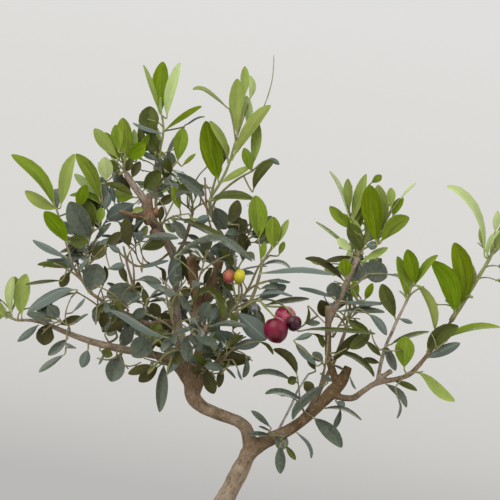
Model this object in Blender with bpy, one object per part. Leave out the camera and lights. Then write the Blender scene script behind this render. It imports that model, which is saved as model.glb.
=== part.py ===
"""An olive bonsai with its pot.

A leaning trunk forks into a left and a right bough. Smaller boughs grow from those, each one
tapering limb, and end where they meet a spray. A spray is one mass of leaves: twigs that grow
from one stem by a seeded rule, with opposite pairs of leaves, joined into one solid.
The pot is a plain stoneware tray filled with soil.

Sizes are in millimetres until a mesh is made. X runs to the right, Y away from the viewer and Z
up, from the middle of the pot's flat underside.
"""

import math
from dataclasses import dataclass
from random import Random

import bmesh
import bpy
from mathutils import Quaternion, Vector
from mathutils.bvhtree import BVHTree

MM = 0.001

# Gap between solids that touch on the real plant
SEAT_GAP = 0.3

# Pot: half sizes of the rim's outline, and heights
POT_HALF_LENGTH = 111.0
POT_HALF_WIDTH = 77.0
POT_HEIGHT = 58.0
POT_CORNER = 19.0
CORNER_TIGHTENING = 0.6
LEAST_CORNER = 4.0
POT_TAPER = 13.0
POT_WALL = 6.5
POT_FLOOR = 9.0
PLINTH_HEIGHT = 5.0
PLINTH_INSET = 6.0
LIP_HEIGHT = 8.0
LIP_REACH = 3.0
EDGE_ROUND = 1.5
DRAIN_SPACING = 110.0
DRAIN_RADIUS = 7.0
DRAIN_SIDES = 16
CORNER_STEPS = 4
SHARP_ANGLE = 35.0

# Soil: its flat top, which is ground level
SOIL_TOP = 54.0

# Trunk: root flare
FLARE_REACH = 6.5
FLARE_HEIGHT = 9.0
FLARE_LOBES = 5
FLARE_LOBE_SHARE = 0.4
FLARE_TURN = 0.6

# Limbs: how far apart their rings are, and how much their bark swells and shrinks
RING_SPACING = 11.0
THIN_RING_SPACING = 15.4
THIN_SIDES = 6
SWELL = 0.05
SWELL_LENGTH = 23.0

# Twigs: sides and steps, room kept round them, and how a stem's foot and a shoot's bend are shaped
TWIG_SIDES = 3
STEM_SIDES = 4
TWIG_STEP = 15.0
TWIG_ROOM = 0.6
STEM_THINNING = 0.4
TIP_FOOT = 1.0
SIDE_FOOT = 2.0
SHOOT_RADIUS_SHARE = 0.75
SHOOT_THINNING = 0.3
SHOOT_BARE = 0.3
BEND_AT = 0.45
BEND_ALONG_STEM = 0.6

# Leaves: shares of a leaf's length and width
PETIOLE_SHARE = 0.09
SHOULDER = 0.3
SHOULDER_WIDTH = 0.96
NECK = 0.8
NECK_WIDTH = 0.8
LEAF_DEPTH = 0.03
LEAF_ROOM = 0.4
LEAF_TRIES = 6
RETRY_TURN = 23.0
RETRY_SHRINK = 0.05
LAST_PAIR = 0.985
PAIR_OFFSET = 0.012
OWN_ROOM_SHARE = 0.25
LEAST_STEP = 0.05

# How leaves vary: in angle and roll by degrees, in length, width and turn to the light by shares
LEAN_SPREAD = 7.0
ROLL_SPREAD = 18.0
LENGTH_SPREAD = (0.88, 1.1)
WIDTH_SPREAD = (0.88, 1.12)
LIGHT_SPREAD = (0.3, 1.7)
END_PAIR_SIZE = 0.78
MIDDLE_PAIR_GAIN = 0.22

# Light falls on the plant from above and from the viewer's side, and leaves turn to it
LIGHT = Vector((0.1, -0.75, 0.65))

# Where the crown is looked at from in front, and how far off
VIEW_X = 14.3
VIEW_Z = 294.5
VIEW_DISTANCE = 2200.0
HALF_SEEN = 0.7

# Sky shows between the leaves there: the middle across and up, and the radius, of each opening
SKY = (
    (-150, 273, 5), (-121, 292, 4), (-98, 265, 5), (-88, 261, 4), (-73, 290, 5), (-48, 292, 5), (-54, 281, 5),
    (-52, 268, 4), (-54, 350, 4), (-104, 218, 5), (-86, 214, 5), (-63, 204, 5), (-125, 237, 4), (-22, 348, 6),
    (-27, 363, 4), (-22, 325, 5), (7, 341, 4), (24, 357, 5), (33, 322, 5), (44, 303, 6), (39, 292, 4),
    (46, 268, 4), (55, 254, 4), (19, 220, 6), (36, 218, 6), (46, 234, 3), (56, 226, 3), (74, 236, 5),
    (78, 247, 4), (95, 246, 4), (136, 218, 7), (131, 273, 5), (157, 298, 5), (163, 270, 4), (173, 317, 6),
    (97, 200, 5), (45, 165, 6), (54, 176, 4), (63, 304, 5), (62, 293, 3), (96, 268, 4), (107, 301, 5),
)

# Olives: sides and rings, and the stalk's radius, steps, rise over the olive and depth in it
FRUIT_SIDES = 8
FRUIT_RINGS = 4
STALK_RADIUS = 0.65
STALK_STEPS = 4
STALK_RISE = 4.0
STALK_DEPTH = 0.4


@dataclass(frozen=True)
class Limb:
    """One tapering limb: its middle line, its radius at both ends and what it grows from."""

    name: str
    path: tuple
    start: float
    end: float
    sides: int
    parents: tuple = ()


@dataclass(frozen=True)
class Habit:
    """How the leaves of a shoot are held, in degrees and shares."""

    lower: float
    upper: float
    rise: float
    facing: float
    slim: float


@dataclass(frozen=True)
class Shoot:
    """A twig that a stem bears at a share of its length, up to its tip, with pairs of leaves."""

    at: float
    tip: tuple
    pairs: int
    leaf: float
    habit: Habit
    twist: float = 0.0


@dataclass(frozen=True)
class Lone:
    """A leaf that stands out of the crown: its twig (0 is the stem), where on it, tip and width."""

    twig: int
    at: float
    tip: tuple
    width: float


@dataclass(frozen=True)
class Fruit:
    """An olive on its stalk, which leaves the stem at a share of its length."""

    at: float
    middle: tuple
    width: float
    height: float


@dataclass(frozen=True)
class Spray:
    """One mass of leaves. Its stem leaves a bough at a share of the bough's length."""

    name: str
    bough: str
    at: float
    path: tuple
    radius: float
    pairs: int
    leaf: float
    habit: Habit
    shoots: tuple = ()
    twist: float = 0.0
    bare: float = 0.35
    lone: tuple = ()
    fruits: tuple = ()


# Young leaves at the tips stand up and are pale; grown ones spread and are blue-green
YOUNG = Habit(lower=55.0, upper=20.0, rise=0.2, facing=1.2, slim=0.33)
GROWN = Habit(lower=72.0, upper=36.0, rise=-0.12, facing=1.0, slim=0.38)
SHADED = Habit(lower=80.0, upper=45.0, rise=-0.38, facing=0.7, slim=0.4)

LIMBS = (
    Limb("trunk", ((-25, 0, 54.3), (-25, 0.5, 66), (-21, 3, 90), (-11.5, 3, 113), (-1.3, 1, 132),
                   (8.2, -1, 150), (15.3, -1, 166)), 8.6, 5.6, 12),
    Limb("left_bough", ((14, -1, 165), (9, -2, 179.5), (1, -3, 185.5), (-9, -4, 190), (-19, -4, 194.5),
                        (-24.5, -4, 201.5), (-23.5, -3, 210), (-22, -2, 220)), 4.7, 6.2, 10, ("trunk",)),
    Limb("right_bough", ((14.5, -1, 163), (20, -1, 168.5), (30, 0, 173.5), (40, 1, 180), (50, 1, 188),
                         (60, 0, 197), (67, -1, 203.5), (75, -2, 211), (78.5, -2, 219)),
         4.9, 3.7, 10, ("trunk", "left_bough")),
    Limb("lower_left_bough", ((-23, -4, 215), (-32, -9, 222), (-45, -13, 226), (-60, -16, 229),
                              (-75, -17, 232), (-90, -16, 236), (-105, -14, 241.5), (-118, -11, 247),
                              (-128, -9, 249), (-134, -9, 249)), 2.5, 1.1, 7, ("left_bough",)),
    Limb("upper_left_bough", ((-23, -1, 215), (-29, 7, 232), (-33, 11, 250), (-34, 12, 268),
                              (-34, 11, 284), (-37, 8, 296), (-43, 6, 305), (-50, 4, 314), (-52, 4, 325),
                              (-59, 4, 335), (-65, 3, 345)), 3.6, 2.0, 8, ("left_bough",)),
    Limb("centre_bough", ((-21, -2, 216), (-17, -3, 235), (-18, -1, 250), (-13, 2, 266), (-8, 5, 279),
                          (-5, 8, 290), (-3, 9, 301)), 4.0, 2.8, 8, ("left_bough", "upper_left_bough")),
    Limb("cut_stump", ((-18, -1, 248), (-22, -6, 258), (-22.5, -8, 272), (-24, -9, 290)),
         3.1, 2.9, 8, ("centre_bough",)),
    Limb("front_bough", ((-22, -4, 213), (-27, -16, 222), (-31, -29, 231), (-33, -42, 241)),
         2.4, 1.2, 7, ("left_bough", "lower_left_bough")),
    Limb("back_bough", ((-21, -2, 212), (-17, 12, 222), (-10, 27, 237), (-4, 40, 254)),
         2.8, 1.5, 7, ("left_bough", "upper_left_bough", "centre_bough")),
    Limb("lesser_left_bough", ((-33, 10, 247), (-42, 2, 248), (-52, -3, 247), (-65, -5, 253),
                               (-76, -6, 258), (-88, -7, 266)), 1.7, 1.2, 7, ("upper_left_bough",)),
    Limb("crown_back_bough", ((-34, 11, 280), (-33, 22, 291), (-28, 34, 303), (-24, 44, 318)),
         1.8, 1.1, 7, ("upper_left_bough",)),
    Limb("right_upright_bough", ((71, -2, 207), (67.5, -5, 217), (65, -6, 227), (65, -6, 242),
                                 (65, -6, 258)), 2.7, 2.4, 9, ("right_bough",)),
    Limb("knuckle_bough", ((65, -6, 247), (71, -7, 260), (76, -7, 271), (81, -7, 282), (84, -7, 290)),
         1.9, 2.2, 8, ("right_upright_bough",)),
    Limb("lower_right_bough", ((67, -1, 202), (80, -4, 199), (88, -6, 204), (96, -7, 208.5),
                               (110, -6, 211), (118, -5, 214), (125, -4, 221), (133, -2, 231),
                               (140, 0, 240), (146, 1, 250)), 2.2, 1.2, 8, ("right_bough",)),
    Limb("right_twig_bough", ((96.5, -7, 208), (99, -9, 221), (102, -10, 232), (106, -11, 241),
                              (109, -11, 248), (113, -10, 256), (116, -9, 262)),
         1.4, 1.0, 6, ("lower_right_bough",)),
    Limb("right_back_bough", ((54, 1, 191), (60, 14, 203), (69, 27, 220), (77, 37, 240)),
         1.9, 1.2, 7, ("right_bough",)),
    Limb("right_front_bough", ((50, 0, 187.5), (54, -14, 195), (59, -27, 206), (62, -38, 219)),
         1.6, 1.0, 7, ("right_bough",)),
    Limb("grey_cut_twig", ((31, 0, 174), (36, 9, 186), (42, 11, 198), (48, 12, 208), (52, 12, 214)),
         1.0, 0.8, 6, ("right_bough",)),
    Limb("front_cut_twig", ((-18, -2, 247), (-23, -15, 252), (-29, -19, 261), (-36, -22, 269),
                            (-44, -24, 277)), 0.9, 0.7, 6, ("centre_bough", "cut_stump")),
    Limb("dead_twig", ((-51.5, 4, 318), (-58, 2, 318.5), (-68, 0, 319)), 0.8, 0.6, 6,
         ("upper_left_bough",)),
    Limb("top_cut_twig", ((-4, 8.5, 297), (-11, 0, 309), (-14, -4, 324), (-15, -5, 342)), 0.9, 0.8, 6,
         ("centre_bough",)),
)

SPRAYS = (
    Spray("far_left_spray", "lower_left_bough", 1.0, ((-143, -10, 252), (-150, -10, 261)), 0.9, 2, 25,
          YOUNG, (Shoot(0.15, (-134, -6, 256), 1, 20, YOUNG, 20), Shoot(0.3, (-139, 4, 258), 1, 24, YOUNG, 70)),
          lone=(Lone(1, 0.9, (-131, -9, 279), 12), Lone(0, 0.5, (-139, -13, 277), 8))),
    Spray("left_spray", "lesser_left_bough", 1.0,
          ((-94, -8, 274), (-100, -10, 284), (-104, -10, 297), (-108, -9, 311), (-111, -8, 321)),
          1.0, 4, 28, GROWN,
          (Shoot(0.02, (-81, -5, 325), 5, 28, GROWN, 40), Shoot(0.2, (-112, -20, 286), 1, 24, GROWN, 30),
           Shoot(0.05, (-70, 6, 327), 2, 29, GROWN, 60), Shoot(0.2, (-97, 14, 298), 1, 28, GROWN, 60)),
          twist=70,
          lone=(Lone(0, 0.97, (-141, -14, 356), 12), Lone(0, 0.98, (-100, -6, 357), 12),
                Lone(0, 0.9, (-132, -18, 333), 9), Lone(0, 0.7, (-121, -18, 320), 12),
                Lone(1, 0.96, (-99, -12, 356), 13), Lone(1, 0.97, (-80, -8, 355), 9),
                Lone(1, 0.7, (-103, -18, 326), 14), Lone(1, 0.82, (-92, -24, 332), 9),
                Lone(1, 0.98, (-100, -18, 344), 7), Lone(0, 0.55, (-90, -18, 300), 9),
                Lone(2, 0.4, (-127, -22, 300), 5), Lone(1, 0.5, (-68, -14, 307), 7),
                Lone(3, 0.9, (-62, -8, 338), 9))),
    Spray("crown_left_spray", "upper_left_bough", 1.0, ((-67, 2, 351), (-67, 1, 358)), 1.0, 2, 21, YOUNG,
          (Shoot(0.2, (-76, 1, 355), 1, 20, YOUNG, 20), Shoot(0.3, (-60, 4, 356), 1, 19, YOUNG, 70),
           Shoot(0.1, (-69, 12, 356), 2, 21, YOUNG, 10)), twist=45, bare=0.2,
          lone=(Lone(1, 0.95, (-88, -2, 373), 8), Lone(0, 0.85, (-80, -5, 372), 12),
                Lone(0, 0.95, (-68, -3, 380), 12), Lone(2, 0.9, (-51, 2, 369), 9),
                Lone(2, 0.8, (-54, -10, 363), 10))),
    Spray("crown_top_spray", "upper_left_bough", 0.8,
          ((-47, 5, 338), (-45, 6, 350), (-44, 6, 361), (-42, 5, 372), (-43, 4, 382)), 1.1, 4, 25, YOUNG,
          (Shoot(0.2, (-33, 3, 352), 2, 25, GROWN, 20), Shoot(0.28, (-47, -8, 358), 2, 24, GROWN, 50),
           Shoot(0.25, (-38, 20, 358), 2, 26, YOUNG, 0)), twist=30,
          lone=(Lone(0, 0.98, (-41, -1, 417), 14), Lone(0, 0.94, (-32, 6, 416), 8),
                Lone(0, 0.93, (-55, 10, 414), 6), Lone(0, 0.8, (-17, -2, 388), 7),
                Lone(0, 0.66, (-52, -4, 388), 14), Lone(1, 0.97, (-30, 0, 374), 10),
                Lone(0, 0.2, (-56, -4, 332), 11), Lone(0, 0.25, (-18, -4, 326), 9))),
    Spray("crown_right_spray", "centre_bough", 1.0,
          ((-9, 9, 313), (-12, 9, 326), (-6, 8, 337), (0, 7, 349), (5, 6, 366)), 1.2, 4, 28, YOUNG,
          (Shoot(0.3, (16, 4, 346), 2, 23, GROWN, 30), Shoot(0.35, (-4, 24, 352), 2, 26, YOUNG, 60),
           Shoot(0.2, (-24, 15, 340), 2, 27, GROWN, 10)), twist=70, bare=0.25,
          lone=(Lone(0, 0.98, (6, 0, 407), 13), Lone(0, 0.95, (13, 10, 414), 9),
                Lone(0, 0.8, (28, 0, 391), 9), Lone(0, 0.9, (-23, 4, 400), 4),
                Lone(0, 0.5, (-15, -6, 379), 16), Lone(1, 0.9, (20, -2, 377), 8),
                Lone(1, 0.8, (31, 2, 352), 9), Lone(0, 0.3, (22, -8, 327), 9),
                Lone(0, 0.52, (16, -6, 350), 6))),
    Spray("middle_right_spray", "centre_bough", 0.85,
          ((4, 0, 297), (12, -5, 301), (19, -7, 304), (28, -8, 301)), 0.9, 2, 26, GROWN,
          (Shoot(0.35, (7, -10, 311), 2, 28, GROWN, 20), Shoot(0.3, (17, 8, 311), 2, 28, GROWN, 50)),
          twist=60, lone=(Lone(0, 0.75, (17, -13, 330), 13), Lone(0, 0.95, (28, -14, 317), 11),
                          Lone(0, 0.97, (40, -6, 314), 7), Lone(0, 0.5, (11, -12, 290), 9),
                          Lone(1, 0.9, (6, -18, 328), 9))),
    Spray("inner_left_spray", "upper_left_bough", 0.68,
          ((-43, -4, 310), (-39, -10, 318), (-34, -13, 328)), 0.8, 3, 26, GROWN,
          (Shoot(0.2, (-50, -12, 318), 2, 25, GROWN, 60), Shoot(0.4, (-25, -12, 318), 2, 25, GROWN, 20)),
          twist=20, lone=(Lone(2, 0.5, (-36, -18, 300), 9),)),
    Spray("middle_left_spray", "upper_left_bough", 0.5,
          ((-44, 0, 281), (-53, -4, 288), (-62, -6, 298)), 0.9, 3, 26, GROWN,
          (Shoot(0.4, (-44, -14, 297), 2, 26, GROWN, 10), Shoot(0.6, (-76, -8, 302), 2, 25, GROWN, 50),
           Shoot(0.5, (-60, 12, 304), 2, 26, GROWN, 20)), twist=20,
          lone=(Lone(0, 0.95, (-68, -14, 316), 10), Lone(1, 0.9, (-34, -20, 270), 11))),
    Spray("middle_front_spray", "cut_stump", 0.45,
          ((-19, -22, 274), (-16, -27, 284), (-13, -29, 295)), 0.8, 3, 28, GROWN,
          (Shoot(0.4, (-31, -28, 288), 3, 26, GROWN, 30), Shoot(0.55, (2, -28, 292), 2, 27, GROWN, 60))),
    Spray("left_low_spray", "lesser_left_bough", 0.6,
          ((-70, -14, 262), (-77, -18, 268), (-86, -20, 272)), 0.8, 3, 25, GROWN,
          (Shoot(0.3, (-62, -24, 272), 3, 25, GROWN, 40), Shoot(0.4, (-84, -26, 258), 2, 22, SHADED, 10)),
          twist=70, lone=(Lone(0, 0.4, (-91, -30, 285), 16), Lone(1, 0.9, (-80, -32, 266), 15))),
    Spray("lower_left_spray", "lower_left_bough", 0.72,
          ((-103, -20, 246), (-111, -22, 250), (-119, -22, 250)), 0.7, 2, 25, GROWN,
          (Shoot(0.2, (-104, -26, 232), 2, 19, SHADED, 40), Shoot(0.5, (-120, -18, 240), 1, 18, SHADED, 0),
           Shoot(0.3, (-101, -16, 264), 2, 24, GROWN, 80)), twist=10, bare=0.3,
          lone=(Lone(3, 0.9, (-130, -24, 254), 8), Lone(0, 0.7, (-119, -28, 259), 9),
                Lone(2, 0.6, (-119, -26, 233), 12), Lone(2, 0.95, (-137, -22, 235), 6),
                Lone(1, 0.97, (-123, -32, 215), 5), Lone(1, 0.6, (-118, -30, 226), 6))),
    Spray("under_left_spray", "lower_left_bough", 0.42,
          ((-71, -22, 226), (-76, -25, 224), (-84, -27, 225)), 0.8, 2, 20, SHADED,
          (Shoot(0.3, (-68, -28, 237), 2, 23, GROWN, 50), Shoot(0.2, (-64, -22, 218), 1, 19, SHADED, 30)),
          twist=0, lone=(Lone(0, 0.4, (-76, -30, 207), 15), Lone(0, 0.97, (-95, -30, 218), 7),
                         Lone(1, 0.9, (-80, -34, 255), 8))),
    Spray("hanging_spray", "lower_left_bough", 0.16,
          ((-42, -18, 221), (-48, -22, 223), (-54, -24, 225)), 0.8, 2, 21, SHADED,
          (Shoot(0.4, (-52, -28, 238), 3, 23, GROWN, 20),), twist=30,
          lone=(Lone(0, 0.35, (-44, -22, 189), 9), Lone(0, 0.95, (-65, -28, 214), 7),
                Lone(0, 0.7, (-58, -32, 209), 8))),
    Spray("lower_centre_spray", "left_bough", 0.93,
          ((-12, -12, 219), (-3, -17, 226), (7, -19, 233)), 0.9, 2, 27, GROWN,
          (Shoot(0.2, (-8, -18, 212), 2, 16, SHADED, 20), Shoot(0.4, (3, -28, 224), 1, 25, GROWN, 70),
           Shoot(0.5, (-10, -26, 238), 2, 25, GROWN, 40)), twist=15,
          lone=(Lone(0, 0.55, (16, -18, 223), 11), Lone(0, 0.9, (21, -12, 233), 8),
                Lone(1, 0.5, (-8, -24, 201), 10), Lone(3, 0.9, (-22, -34, 224), 9))),
    Spray("olive_spray", "centre_bough", 0.28,
          ((-8, -12, 245), (1, -15, 254), (9, -15, 263), (15, -14, 273), (20, -13, 284), (27, -12, 291)),
          1.1, 4, 24, GROWN,
          (Shoot(0.35, (19, -8, 263), 2, 25, GROWN, 80), Shoot(0.6, (27, -18, 275), 2, 25, GROWN, 70),
           Shoot(0.5, (4, -24, 284), 1, 23, GROWN, 20)), twist=40,
          lone=(Lone(2, 0.8, (69, -22, 277), 4), Lone(1, 0.95, (53, -10, 264), 5),
                Lone(0, 0.2, (24, -33, 236), 14)),
          fruits=(Fruit(0.22, (31, -25, 243), 15.7, 17), Fruit(0.3, (36.5, -5, 252.5), 13.6, 14.5),
                  Fruit(0.26, (43, -17, 246), 12, 12.5), Fruit(0.45, (1, -19, 277.5), 8, 9),
                  Fruit(0.48, (7.5, -25, 277.5), 7, 10))),
    Spray("front_spray", "front_bough", 1.0,
          ((-35, -52, 250), (-38, -60, 262), (-39, -64, 274)), 0.9, 3, 27, GROWN,
          (Shoot(0.1, (-52, -50, 254), 2, 25, GROWN, 20), Shoot(0.2, (-18, -56, 252), 2, 26, GROWN, 60),
           Shoot(0.15, (-36, -60, 236), 1, 20, SHADED, 10), Shoot(0.5, (-26, -56, 276), 2, 25, GROWN, 30))),
    Spray("back_spray", "back_bough", 1.0,
          ((-2, 49, 266), (-1, 57, 280), (2, 62, 296)), 1.0, 3, 28, GROWN,
          (Shoot(0.1, (-20, 56, 266), 1, 27, GROWN, 20), Shoot(0.15, (16, 52, 264), 1, 26, GROWN, 60),
           Shoot(0.3, (-14, 46, 292), 2, 27, GROWN, 30), Shoot(0.2, (4, 68, 262), 2, 22, SHADED, 80))),
    Spray("back_low_spray", "back_bough", 0.45,
          ((-22, 31, 230), (-32, 38, 232), (-44, 43, 236)), 0.9, 2, 26, GROWN,
          (Shoot(0.3, (-24, 50, 240), 2, 25, GROWN, 30), Shoot(0.5, (-42, 36, 252), 2, 26, GROWN, 60))),
    Spray("back_left_spray", "lower_left_bough", 0.5,
          ((-72, -4, 238), (-76, 10, 246), (-80, 24, 256), (-84, 36, 268)), 0.9, 3, 27, GROWN,
          (Shoot(0.4, (-62, 18, 262), 2, 26, GROWN, 10), Shoot(0.6, (-98, 24, 266), 2, 25, GROWN, 50),
           Shoot(0.5, (-74, 34, 246), 1, 22, SHADED, 70))),
    Spray("crown_back_spray", "crown_back_bough", 1.0,
          ((-24, 50, 326), (-26, 54, 338)), 0.9, 3, 26, YOUNG,
          (Shoot(0.1, (-42, 48, 330), 2, 28, GROWN, 20), Shoot(0.2, (-8, 48, 328), 2, 24, YOUNG, 60),
           Shoot(0.15, (-28, 66, 324), 1, 27, GROWN, 40))),
    Spray("low_right_spray", "right_bough", 0.3,
          ((34, -8, 172), (37, -12, 171)), 0.8, 2, 17, SHADED,
          (Shoot(0.3, (26, -12, 176), 1, 17, SHADED, 20),), twist=80,
          lone=(Lone(0, 0.8, (34, -13, 149), 8), Lone(0, 0.9, (44, -20, 157), 6))),
    Spray("right_inner_spray", "right_bough", 0.52,
          ((47, -8, 195), (46, -12, 204), (45, -13, 213)), 0.8, 3, 24, GROWN,
          (Shoot(0.1, (54, -13, 187), 1, 18, SHADED, 30), Shoot(0.3, (55, -12, 207), 2, 21, GROWN, 60),
           Shoot(0.3, (38, -10, 202), 1, 25, GROWN, 0)), twist=25,
          lone=(Lone(1, 0.9, (74, -18, 165), 11), Lone(0, 0.4, (42, -20, 185), 8),
                Lone(0, 0.9, (35, -16, 230), 8), Lone(2, 0.6, (44, -18, 233), 8))),
    Spray("right_front_spray", "right_front_bough", 1.0,
          ((63, -46, 228), (64, -50, 240)), 0.8, 2, 25, GROWN,
          (Shoot(0.1, (52, -48, 228), 2, 24, GROWN, 20), Shoot(0.2, (76, -46, 232), 2, 25, GROWN, 60))),
    Spray("right_back_spray", "right_back_bough", 1.0,
          ((80, 46, 254), (83, 52, 268), (84, 54, 282)), 0.9, 3, 28, GROWN,
          (Shoot(0.1, (66, 50, 256), 1, 26, GROWN, 20), Shoot(0.2, (96, 46, 258), 2, 26, GROWN, 60),
           Shoot(0.15, (84, 64, 254), 1, 22, SHADED, 40), Shoot(0.5, (76, 40, 288), 2, 22, YOUNG, 0))),
    Spray("upright_spray", "right_upright_bough", 0.62,
          ((72, -12, 246), (77, -15, 252), (84, -16, 257)), 0.8, 2, 24, GROWN,
          (Shoot(0.1, (58, -16, 252), 2, 18, SHADED, 40), Shoot(0.4, (80, -16, 243), 1, 19, SHADED, 10),
           Shoot(0.5, (77, -22, 264), 2, 23, GROWN, 70)), twist=75,
          lone=(Lone(1, 0.5, (58, -20, 263), 9), Lone(2, 0.9, (91, -24, 239), 9))),
    Spray("knuckle_low_spray", "knuckle_bough", 0.55,
          ((80, -14, 270), (85, -16, 274), (90, -16, 279)), 0.8, 3, 24, GROWN,
          (Shoot(0.3, (84, -12, 262), 1, 18, YOUNG, 40), Shoot(0.2, (72, -18, 282), 1, 21, GROWN, 10)),
          twist=35,
          lone=(Lone(0, 0.5, (104, -22, 275), 13), Lone(0, 0.3, (50, -18, 290), 7),
                Lone(1, 0.9, (94, -16, 274), 6))),
    Spray("knuckle_spray", "knuckle_bough", 1.0,
          ((86, -7, 295), (90, -7, 300), (98, -7, 306)), 1.1, 3, 24, YOUNG,
          (Shoot(0.04, (79, -7, 316), 3, 23, YOUNG, 50), Shoot(0.2, (96, -12, 298), 1, 18, YOUNG, 30),
           Shoot(0.08, (72, -10, 296), 1, 21, GROWN, 20), Shoot(0.3, (91, 8, 312), 2, 24, YOUNG, 60)),
          twist=70, bare=0.3,
          lone=(Lone(0, 0.73, (90, -14, 338), 15), Lone(0, 0.85, (101, -2, 342), 10),
                Lone(0, 0.95, (119, -12, 317), 12), Lone(0, 0.96, (115, -4, 329), 8),
                Lone(1, 0.95, (66, -4, 346), 3), Lone(1, 0.975, (78, -10, 342), 7),
                Lone(1, 0.9, (90, 0, 345), 8), Lone(1, 0.7, (66, -12, 324), 8),
                Lone(0, 0.33, (79, -18, 313), 11), Lone(4, 0.85, (110, 6, 334), 7))),
    Spray("right_top_spray", "right_twig_bough", 1.0,
          ((118, -9, 268), (120, -9, 274)), 0.9, 2, 20, YOUNG,
          (Shoot(0.1, (111, -10, 268), 1, 18, YOUNG, 20), Shoot(0.25, (127, -10, 271), 1, 21, GROWN, 60),
           Shoot(0.15, (118, 3, 270), 2, 20, YOUNG, 40)), twist=70, bare=0.15,
          lone=(Lone(1, 0.6, (107, -14, 291), 9), Lone(0, 0.9, (116, -14, 296), 10),
                Lone(2, 0.7, (137, -12, 292), 6), Lone(2, 0.5, (134, -18, 245), 8))),
    Spray("right_mid_spray", "right_twig_bough", 0.4,
          ((98, -17, 230), (94, -20, 236), (92, -20, 243)), 0.7, 2, 23, GROWN,
          (Shoot(0.2, (104, -20, 229), 2, 21, GROWN, 40),),
          twist=10, lone=(Lone(1, 0.9, (132, -8, 241), 5),)),
    Spray("right_under_spray", "lower_right_bough", 0.55,
          ((113, -13, 213), (118, -16, 215), (126, -16, 216)), 0.8, 1, 23, GROWN,
          (Shoot(0.1, (108, -14, 206), 1, 17, SHADED, 30),), twist=5,
          lone=(Lone(0, 0.55, (119, -28, 239), 12), Lone(0, 0.97, (147, -18, 196), 8))),
    Spray("right_end_spray", "lower_right_bough", 0.82,
          ((134, -10, 229), (138, -12, 233), (142, -12, 236)), 0.8, 1, 25, GROWN,
          (Shoot(0.2, (136, 4, 226), 2, 24, GROWN, 60),), twist=25,
          lone=(Lone(0, 0.4, (149, -16, 246), 12), Lone(0, 0.3, (152, -14, 233), 9),
                Lone(0, 0.95, (180, -14, 244), 6))),
    Spray("right_tip_spray", "lower_right_bough", 1.0,
          ((152, 2, 259), (160, 3, 272), (168, 4, 285), (174, 4, 296)), 1.0, 4, 30, YOUNG,
          (Shoot(0.1, (142, 6, 262), 1, 25, YOUNG, 10), Shoot(0.3, (158, -10, 264), 1, 25, YOUNG, 60),
           Shoot(0.5, (160, 16, 284), 2, 26, YOUNG, 30)), twist=70,
          lone=(Lone(0, 0.12, (131, 8, 288), 15), Lone(0, 0.3, (147, -4, 300), 15),
                Lone(0, 0.85, (146, 0, 335), 6), Lone(0, 0.97, (180, 2, 326), 9))),
)

MATERIALS = {
    "bark": ((0.31, 0.24, 0.17, 1.0), 0.85),
    "leaf": ((0.10, 0.17, 0.05, 1.0), 0.45),
    "stoneware": ((0.13, 0.07, 0.045, 1.0), 0.7),
    "soil": ((0.06, 0.04, 0.03, 1.0), 0.95),
}


def clear_scene():
    """Remove every object that the file opened with."""
    for scene_object in list(bpy.data.objects):
        bpy.data.objects.remove(scene_object)


def make_material(name):
    """A plain Principled material by its name in MATERIALS."""
    colour, roughness = MATERIALS[name]
    material = bpy.data.materials.new(name)
    material.use_nodes = True
    shader = material.node_tree.nodes["Principled BSDF"]
    shader.inputs["Base Color"].default_value = colour
    shader.inputs["Roughness"].default_value = roughness
    shader.inputs["Metallic"].default_value = 0.0
    return material


def make_object(name, solid, material):
    """An object from a solid in millimetres, with its faces turned outward."""
    points, faces = solid
    mesh = bpy.data.meshes.new(name)
    mesh.from_pydata([tuple(point * MM) for point in points], [], faces)
    shell = bmesh.new()
    shell.from_mesh(mesh)
    bmesh.ops.recalc_face_normals(shell, faces=shell.faces)
    shell.to_mesh(mesh)
    shell.free()
    mesh.materials.append(material)
    made = bpy.data.objects.new(name, mesh)
    bpy.context.scene.collection.objects.link(made)
    return made


def apply_modifiers(target):
    """Put the evaluated mesh in the place of the object's own, and drop its modifiers."""
    graph = bpy.context.evaluated_depsgraph_get()
    mesh = bpy.data.meshes.new_from_object(target.evaluated_get(graph))
    target.modifiers.clear()
    target.data = mesh
    mesh.name = target.name


def keep_main_body(target):
    """Keep the largest connected shell: a loose scrap or the wall of a sealed hollow goes."""
    shell = bmesh.new()
    shell.from_mesh(target.data)
    left = set(shell.verts)
    bodies = []
    while left:
        body, edge = set(), [left.pop()]
        while edge:
            vertex = edge.pop()
            body.add(vertex)
            for link in vertex.link_edges:
                other = link.other_vert(vertex)
                if other in left:
                    left.remove(other)
                    edge.append(other)
        bodies.append(body)
    largest = max(bodies, key=len)
    scraps = [vertex for vertex in shell.verts if vertex not in largest]
    bmesh.ops.delete(shell, geom=scraps, context="VERTS")
    bmesh.ops.triangulate(shell, faces=shell.faces)
    shell.to_mesh(target.data)
    shell.free()


def smooth_path(points, spacing):
    """Points along a smooth curve through the given ones, about evenly spaced."""
    knots = [Vector(point) for point in points]
    ends = [knots[0] * 2 - knots[1]] + knots + [knots[-1] * 2 - knots[-2]]
    path = [knots[0]]
    for before, here, there, after in zip(ends, ends[1:], ends[2:], ends[3:]):
        steps = max(1, round((there - here).length / spacing))
        for step in range(1, steps + 1):
            t = step / steps
            path.append(0.5 * (2 * here + (there - before) * t
                               + (2 * before - 5 * here + 4 * there - after) * t ** 2
                               + (3 * here - before - 3 * there + after) * t ** 3))
    return path


def shares_along(path):
    """For each point of a path, its share of the whole length."""
    lengths = [0.0]
    for here, there in zip(path, path[1:]):
        lengths.append(lengths[-1] + (there - here).length)
    return [length / lengths[-1] for length in lengths]


def point_along(path, share):
    """The point and the direction at a share of a path's length."""
    shares = shares_along(path)
    for index in range(len(path) - 1):
        if share <= shares[index + 1] or index == len(path) - 2:
            part = (share - shares[index]) / (shares[index + 1] - shares[index])
            step = path[index + 1] - path[index]
            return path[index] + step * part, step.normalized()


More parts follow.
